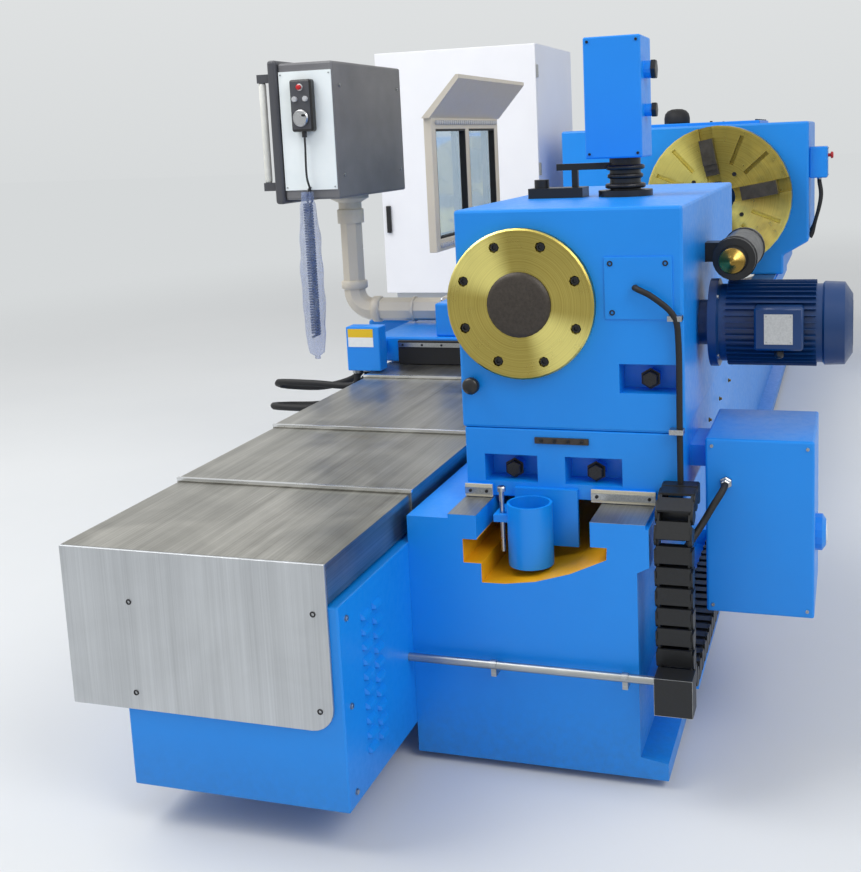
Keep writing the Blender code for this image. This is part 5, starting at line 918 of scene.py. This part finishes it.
stain = put(tree, "ShaderNodeTexNoise", {"Vector": place, "Scale": 12.0, "Detail": 5.0, "Roughness": 0.65})
tone = put(tree, "ShaderNodeMixRGB", {"Fac": stain.outputs["Fac"], "Color1": rgb("E9F2F4"),
                                      "Color2": rgb("F8FDFD")})
tree.links.new(tone.outputs["Color"], shader.inputs["Base Color"])
dress(white, "pendant_side_plate")
moulding, tree, shader, place = finish("charcoal_abs_moulding", 0.42)
spark = put(tree, "ShaderNodeTexNoise", {"Vector": place, "Scale": 600.0, "Detail": 2.0})
tone = put(tree, "ShaderNodeMixRGB", {"Fac": spark.outputs["Fac"], "Color1": rgb("3A3B40"),
                                      "Color2": rgb("55565B")})
bump = put(tree, "ShaderNodeBump", {"Height": spark.outputs["Fac"], "Strength": 0.2, "Distance": 0.0005})
tree.links.new(tone.outputs["Color"], shader.inputs["Base Color"])
tree.links.new(bump.outputs["Normal"], shader.inputs["Normal"])
dress(moulding, "pendant_bezel")
cream = enamel("cream_machine_enamel", "D6CEBF", "C9C0B0", 0.34, 0.08)
dress(cream, "guard_frame", "pendant_arm")
dress(phenolic, "handwheel_unit", "cabinet_door_handle")
ivory, tree, shader, place = finish("ivory_nylon_handle", 0.35)
haze = put(tree, "ShaderNodeTexNoise", {"Vector": place, "Scale": 26.0, "Detail": 4.0})
tone = put(tree, "ShaderNodeMixRGB", {"Fac": haze.outputs["Fac"], "Color1": rgb("D3D3CB"),
                                      "Color2": rgb("F0F0EA")})
tree.links.new(tone.outputs["Color"], shader.inputs["Base Color"])
for x, side in ((0.932, "tail"), (0.308, "head")):
    round_piece("grab_handle_" + side, [(0.0115, 0), (0.0135, 0.008), (0.0138, 0.17), (0.0138, 0.19),
                                        (0.0135, 0.351), (0.0115, 0.359)],
                24, "+Z", (x, -1.338, 1.3205), ivory, "pendant")
set_out("pendant_back_screws", socket_head,
        [(0.90, -1.0482, z) for z in (1.34, 1.66)] + [(0.34, -1.0482, z) for z in (1.34, 1.66)],
        "+Y", 0.0055, zinc, "pendant")
set_out("side_plate_screws", socket_head, [(0.9538, y, z) for y in (-1.252, -1.062) for z in (1.30, 1.703)],
        "+X", 0.003, zinc, "pendant")
glass, tree, shader, place = finish("dark_display_glass", 0.08)
grid = put(tree, "ShaderNodeSeparateXYZ", {"Vector": place})
lines = put(tree, "ShaderNodeMath", {0: grid.outputs["Z"], 1: 0.028}, operation="MODULO").outputs[0]
lines = inside(tree, lines, 0.0, 0.0014)
glow = put(tree, "ShaderNodeTexNoise", {"Vector": place, "Scale": 8.0, "Detail": 2.0})
tone = put(tree, "ShaderNodeMixRGB", {"Fac": glow.outputs["Fac"], "Color1": rgb("0B1420"),
                                      "Color2": rgb("14263A")})
tone = put(tree, "ShaderNodeMixRGB", {"Fac": lines, "Color1": tone.outputs["Color"], "Color2": rgb("27486B")})
tree.links.new(tone.outputs["Color"], shader.inputs["Base Color"])
slab("display", (0.354, 0.686), (-1.2945, -1.2925), (1.459, 1.701), glass, "pendant", 0.0008)
key_cap = lathe_mesh("key_cap", [(1.0, 0.0), (1.0, 0.22), (0.88, 0.34), (0.2, 0.35)], 4)
key_cap.data.transform(Matrix.Rotation(math.pi / 4, 4, "Z"))
soft_key, tree, shader, place = finish("grey_silicone_key", 0.5)
haze = put(tree, "ShaderNodeTexNoise", {"Vector": place, "Scale": 200.0, "Detail": 2.0})
tone = put(tree, "ShaderNodeMixRGB", {"Fac": haze.outputs["Fac"], "Color1": rgb("A9AAAD"),
                                      "Color2": rgb("C9CACC")})
tree.links.new(tone.outputs["Color"], shader.inputs["Base Color"])
set_out("pad_keys", key_cap,
        [(0.744 + 0.029 * i, -1.2968, 1.475 + 0.029 * k) for i in range(6) for k in range(8)], "-Y", 0.0125,
        soft_key, "pendant")
set_out("lower_keys", key_cap,
        [(0.365 + 0.034 * i, -1.2995, 1.405 - 0.036 * k) for i in range(10) for k in range(3)], "-Y", 0.0125,
        soft_key, "pendant")
bpy.data.objects.remove(key_cap, do_unlink=True)
set_out("arm_flange_bolts", hex_head, [(x, -0.7723, z) for x in (0.568, 0.672) for z in (0.768, 0.848)], "-Y",
        0.0075, zinc, "cross")
round_piece("arm_elbow", [(0.046, 0), (0.0515, 0.004), (0.0515, 0.030), (0.046, 0.034)], 32, "+Z",
            (0.62, -1.157, 0.885), cream, "cross")
round_piece("arm_elbow_flat", [(0.046, 0), (0.0515, 0.004), (0.0515, 0.030), (0.046, 0.034)], 32, "-Y",
            (0.62, -1.045, 0.804), cream, "cross")

# Handwheel unit: moulded box with a silver dial, a red stop in an aluminium ring, two selector knobs and a bare
# grey face plate. The dial is knurled at its rim and engraved with plain ticks.
dial_alloy, tree, shader, place = finish("engraved_dial_aluminium", 0.28, 1.0)
off = put(tree, "ShaderNodeVectorMath", {0: place, 1: (0, -1.160, 1.547)}, operation="SUBTRACT").outputs[0]
part = put(tree, "ShaderNodeSeparateXYZ", {"Vector": off})
angle = put(tree, "ShaderNodeMath", {0: part.outputs["Z"], 1: part.outputs["Y"]},
            operation="ARCTAN2").outputs[0]
tick = put(tree, "ShaderNodeMath", {0: angle, 1: 50.0}, operation="MULTIPLY").outputs[0]
tick = put(tree, "ShaderNodeMath", {0: tick}, operation="SINE").outputs[0]
tick = put(tree, "ShaderNodeMath", {0: tick, 1: 0.82}, operation="GREATER_THAN").outputs[0]
tone = put(tree, "ShaderNodeMixRGB", {"Fac": tick, "Color1": rgb("D6D7D8"), "Color2": rgb("37383A")})
tree.links.new(tone.outputs["Color"], shader.inputs["Base Color"])
dress(dial_alloy, "handwheel_dial")
red, tree, shader, place = finish("red_moulded_button", 0.28)
tint = put(tree, "ShaderNodeTexNoise", {"Vector": place, "Scale": 120.0, "Detail": 2.0})
tone = put(tree, "ShaderNodeMixRGB", {"Fac": tint.outputs["Fac"], "Color1": rgb("B81016"),
                                      "Color2": rgb("D02228")})
tree.links.new(tone.outputs["Color"], shader.inputs["Base Color"])
dress(red, "emergency_button", "junction_button")
slab("unit_face", (0.9915, 0.9932), (-1.196, -1.124), (1.508, 1.676), moulding, "pendant",
     0.0006)
round_piece("unit_stop_ring", [(0.0125, 0), (0.0125, 0.0012), (0.0118, 0.0016), (0.004, 0.0017)], 24, "+X",
            (0.9931, -1.160, 1.655), alloy, "pendant")
round_piece("unit_stop", [(0.006, 0), (0.006, 0.004), (0.0095, 0.005), (0.0098, 0.009), (0.007, 0.012),
                          (0.003, 0.0125)], 24, "+X",
            (0.9946, -1.160, 1.655), red, "pendant")
for y in (-1.181, -1.139):
    round_piece("unit_selector_%d" % round(-y * 1000), [(0.010, 0), (0.010, 0.008), (0.0085, 0.010),
                                                        (0.003, 0.0102)], 10, "+X",
                (0.993, y, 1.614), soft_key, "pendant", False)
round_piece("dial_crank", [(0.0035, 0), (0.0045, 0.002), (0.0045, 0.014), (0.0025, 0.016)], 12, "+X",
            (1.0058, -1.143, 1.556), phenolic, "dial")


# Splash guard: cream enamelled frame with two safety-glass panes in rubber beading, and a hood that leans
# over the work. Rollers of grey plastic carry a sliding pane at top and bottom.
pane, tree, shader, place = finish("laminated_safety_glass", 0.05, Transmission_Weight=0.88, IOR=1.5)
haze = put(tree, "ShaderNodeTexNoise", {"Vector": place, "Scale": 9.0, "Detail": 4.0})
tone = put(tree, "ShaderNodeMixRGB", {"Fac": haze.outputs["Fac"], "Color1": rgb("BBD4E2"),
                                      "Color2": rgb("DCEBF2")})
tree.links.new(tone.outputs["Color"], shader.inputs["Base Color"])
dress(pane, "guard_glass")
for k, (a, b) in enumerate(((0.165, 0.505), (0.545, 0.885))):
    bm = bmesh.new()
    w = 0.007
    for outline in ([(a, 1.098), (b, 1.098), (b, 1.098 + w), (a, 1.098 + w)],
                    [(a, 1.488 - w), (b, 1.488 - w), (b, 1.488), (a, 1.488)],
                    [(a, 1.098 + w), (a + w, 1.098 + w), (a + w, 1.488 - w), (a, 1.488 - w)],
                    [(b - w, 1.098 + w), (b, 1.098 + w), (b, 1.488 - w), (b - w, 1.488 - w)]):
        prism(bm, outline, -0.7175, -0.6945)
    bmesh.ops.recalc_face_normals(bm, faces=bm.faces)
    mesh = bpy.data.meshes.new("beading")
    bm.to_mesh(mesh)
    bm.free()
    mesh.materials.append(rubber)
    bead = bpy.data.objects.new("guard_beading_%d" % (k + 1), mesh)
    bpy.context.scene.collection.objects.link(bead)
    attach(bead, "cross")
roller = lathe_mesh("guide_roller", [(0.7, 0.0), (1.0, 0.12), (1.0, 1.2), (0.7, 1.32)], 14)
set_out("guard_rollers_top", roller, [(0.165 + 0.024 * i, -0.6925, 1.512) for i in range(31)], "+Y", 0.0085,
        soft_key, "cross")
set_out("guard_rollers_low", roller, [(0.165 + 0.024 * i, -0.6925, 1.076) for i in range(31)], "+Y", 0.0085,
        soft_key, "cross")
bpy.data.objects.remove(roller, do_unlink=True)
set_out("guard_screws", socket_head,
        [(x, -0.7215, z) for x in (0.14, 0.525, 0.91) for z in (1.075, 1.293, 1.511)], "-Y", 0.0045,
        zinc, "cross")

# Carriage: blue casting with a black rubber skirt in a steel strip, cap screws on its slab, brass oil
# nipples, and the apron box, whose label plate is left bare: a yellow band over white.
dress(rubber, "saddle_skirt_tail")
slab("skirt_strip", (0.9622, 0.9645), (-0.848, -0.232), (0.716, 0.732), zinc, "carriage",
     0.0006)
set_out("skirt_screws", socket_head, [(0.964, -0.83 + 0.0745 * i, 0.724) for i in range(9)], "+X", 0.004,
        oxide, "carriage")
set_out("saddle_bolts", socket_head, [(x, y, 0.7498) for x in (0.124, 0.941) for y in (-0.925, -0.60, -0.27)],
        "+Z", 0.006, oxide, "carriage")
nipple = lathe_mesh("oil_nipple", [(1.0, -0.05), (1.0, 0.5), (0.6, 0.6), (0.6, 1.1), (0.4, 1.3), (0.1, 1.32)],
                    10)
set_out("saddle_oil_nipples", nipple, [(x, -0.9497, 0.712) for x in (0.20, 0.36, 0.66, 0.76)], "-Y", 0.006,
        brass, "carriage")
set_out("tail_oil_nipples", nipple, [(x, 0.3675, 0.70) for x in (1.35, 1.60, 1.85)], "+Y", 0.006, brass,
        "tailstock")
bpy.data.objects.remove(nipple, do_unlink=True)
label, tree, shader, place = finish("bare_label_laminate", 0.3)
band = put(tree, "ShaderNodeSeparateXYZ", {"Vector": place}).outputs["Z"]
band = put(tree, "ShaderNodeMath", {0: band, 1: 0.776}, operation="GREATER_THAN").outputs[0]
fade = put(tree, "ShaderNodeTexNoise", {"Vector": place, "Scale": 60.0, "Detail": 3.0})
white_part = put(tree, "ShaderNodeMixRGB", {"Fac": fade.outputs["Fac"], "Color1": rgb("E6E8E6"),
                                            "Color2": rgb("F6F7F5")})
tone = put(tree, "ShaderNodeMixRGB", {"Fac": band, "Color1": white_part.outputs["Color"],
                                      "Color2": rgb("E9C01A")})
tree.links.new(tone.outputs["Color"], shader.inputs["Base Color"])
slab("apron_label", (1.1148, 1.1158), (-0.975, -0.880), (0.742, 0.806), label, "carriage",
     0.0003)
set_out("conduit_nuts", hex_head, [(1.066, -0.93, 0.6565), (1.10, -0.955, 0.6565)], "-Z", 0.0135, zinc,
        "carriage")
set_out("turret_clamp_screws", socket_head,
        [(0.5 + dx, -0.42 + s * 0.104, 1.1298) for dx in (-0.085, -0.03, 0.03, 0.085) for s in (-1, 1)],
        "+Z", 0.008, oxide, "turret")
set_out("turret_side_screws", socket_head,
        [(0.5 + s * 0.104, -0.42 + dy, 1.1298) for dy in (-0.03, 0.03) for s in (-1, 1)], "+Z",
        0.008, oxide, "turret")
set_out("slide_bolts", socket_head,
        [(x, y, 0.8698) for x in (0.20, 0.36, 0.66, 0.88) for y in (-0.50, -0.34)], "+Z", 0.009, oxide,
        "cross")

# Headstock: the same casting enamel with a bolted top lid, a black rubber breather dome, cap screws round the
# spindle boss, the junction box with its cables, and a long-handled gear lever on the operator's side.
set_out("lid_screws", socket_head,
        [(x, y, 1.4928) for x in (-2.92, -2.75, -2.575, -2.40, -2.23) for y in (-0.60, 0.18)] +
        [(x, y, 1.4928) for x in (-2.92, -2.23) for y in (-0.34, -0.08)], "+Z", 0.008, oxide, "base")
set_out("boss_screws", socket_head,
        [(-2.0325, 0.25 * math.cos(math.radians(a)), 1.07 + 0.25 * math.sin(math.radians(a)))
                                     for a in range(15, 360, 30)], "+X", 0.008, oxide, "base")
round_piece("breather_cap", [(0.0765, 0), (0.0775, 0.010), (0.0772, 0.037), (0.0715, 0.0605),
                             (0.0562, 0.0785), (0.0310, 0.0885), (0.004, 0.0905)],
            40, "+Z", (-2.45, -0.311, 1.493), rubber, "base")
round_piece("lever_hub", [(0.034, 0), (0.034, 0.018), (0.028, 0.024), (0.014, 0.026), (0.003, 0.0262)], 32,
            "-Y", (-2.35, -0.9449, 1.24), alloy, "base")
lever = [Vector((-2.35, -0.962, 1.24)), Vector((-2.35, -0.966, 1.20)), Vector((-2.35, -0.978, 1.15)),
         Vector((-2.35, -0.990, 1.10))]
stick, long = lead("gear_lever", smooth_path(lever, 12), 0.0075, alloy, "base")
round_piece("lever_knob", [(0.007, 0), (0.013, 0.006), (0.018, 0.016), (0.019, 0.026), (0.015, 0.036),
                           (0.006, 0.0405)], 24, "-Z",
            (-2.35, -0.990, 1.106), phenolic, "base")
for k, (x, low, out, wide) in enumerate(((-2.285, 0.80, 0.030, 0.010), (-2.245, 0.84, 0.036, 0.008),
                                         (-2.16, 0.82, 0.028, 0.011))):
    drop = smooth_path([(x, 0.535, 1.1537), (x, 0.535, 1.13), (x + 0.006, 0.530 + out * 0.5, 1.06),
                        (x + 0.012, 0.522 + out * 0.4, 0.98), (x + 0.006, 0.512, 0.90),
                        (x, 0.497, low + 0.03), (x, 0.4835, low)], 30)
    ob, long = lead("headstock_cable_%d" % (k + 1), drop, wide, rubber, "base")
set_out("cable_glands", hex_head, [(x, 0.535, 1.1545) for x in (-2.285, -2.245, -2.16)], "-Z", 0.0125, zinc,
        "base")
set_out("junction_screws", socket_head, [(x, 0.5818, z) for x in (-2.31, -2.11) for z in (1.165, 1.318)],
        "+Y", 0.0035, zinc, "base")

# Electrical cabinet: folded sheet, white textured powder coat, on a pale grey plinth, with three hinges and a
# narrow seam round the door.
powder, tree, shader, place = finish("white_powder_coat", 0.42)
skin = put(tree, "ShaderNodeTexNoise", {"Vector": place, "Scale": 380.0, "Detail": 3.0})
cloud = put(tree, "ShaderNodeTexNoise", {"Vector": place, "Scale": 3.0, "Detail": 4.0})
tone = put(tree, "ShaderNodeMixRGB", {"Fac": cloud.outputs["Fac"], "Color1": rgb("E9EAEF"),
                                      "Color2": rgb("F5F6FA")})
low = put(tree, "ShaderNodeMath", {0: put(tree, "ShaderNodeSeparateXYZ", {"Vector": place}).outputs["Z"],
                                   1: 0.5045},
          operation="LESS_THAN").outputs[0]
tone = put(tree, "ShaderNodeMixRGB", {"Fac": low, "Color1": tone.outputs["Color"], "Color2": rgb("C4C6C8")})
bump = put(tree, "ShaderNodeBump", {"Height": skin.outputs["Fac"], "Strength": 0.22, "Distance": 0.0007})
tree.links.new(tone.outputs["Color"], shader.inputs["Base Color"])
tree.links.new(bump.outputs["Normal"], shader.inputs["Normal"])
dress(powder, "cabinet_body", "cabinet_door")
hinge_pin = lathe_mesh("hinge_pin", [(0.6, 0.0), (1.0, 0.3), (1.0, 8.7), (0.6, 9.0)], 12)
set_out("cabinet_hinges", hinge_pin, [(-2.062, -1.084, z) for z in (0.62, 1.22, 1.80)], "+Z", 0.0085, zinc,
        "base")
bpy.data.objects.remove(hinge_pin, do_unlink=True)

# Turned, cast and bent pieces: where the real surface runs round, the light runs round it too. A copy of each
# mesh is merged and shaded smooth as far as its true edges, which stay crisp.
for name in ("pendant_arm", "pawl_bracket", "tail_motor", "tail_cylinder", "tail_post", "quill",
             "live_centre", "conduit_pipe", "tailstock_disc", "tailstock_flange", "chuck_body"):
    bm = bmesh.new()
    bm.from_mesh(nodes[name].data)
    bmesh.ops.remove_doubles(bm, verts=bm.verts, dist=0.00001)
    for face in bm.faces:
        face.smooth = True
    for edge in bm.edges:
        edge.smooth = len(edge.link_faces) == 2 and edge.calc_face_angle(0.0) < math.radians(38)
    mesh = bpy.data.meshes.new(name + "_surface")
    bm.to_mesh(mesh)
    bm.free()
    mesh.materials.clear()
    mesh.materials.append(nodes[name].material_slots[0].material)
    round_work = bpy.data.objects.new(name + "_surface", mesh)
    bpy.context.scene.collection.objects.link(round_work)
    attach(round_work, nodes[name]["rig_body"])
    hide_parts(name)

# The masters of screws and louvres have done their work; the boxes of both models are kept.
for master in (socket_head, hex_head, hood, fan_hole):
    bpy.data.objects.remove(master, do_unlink=True)
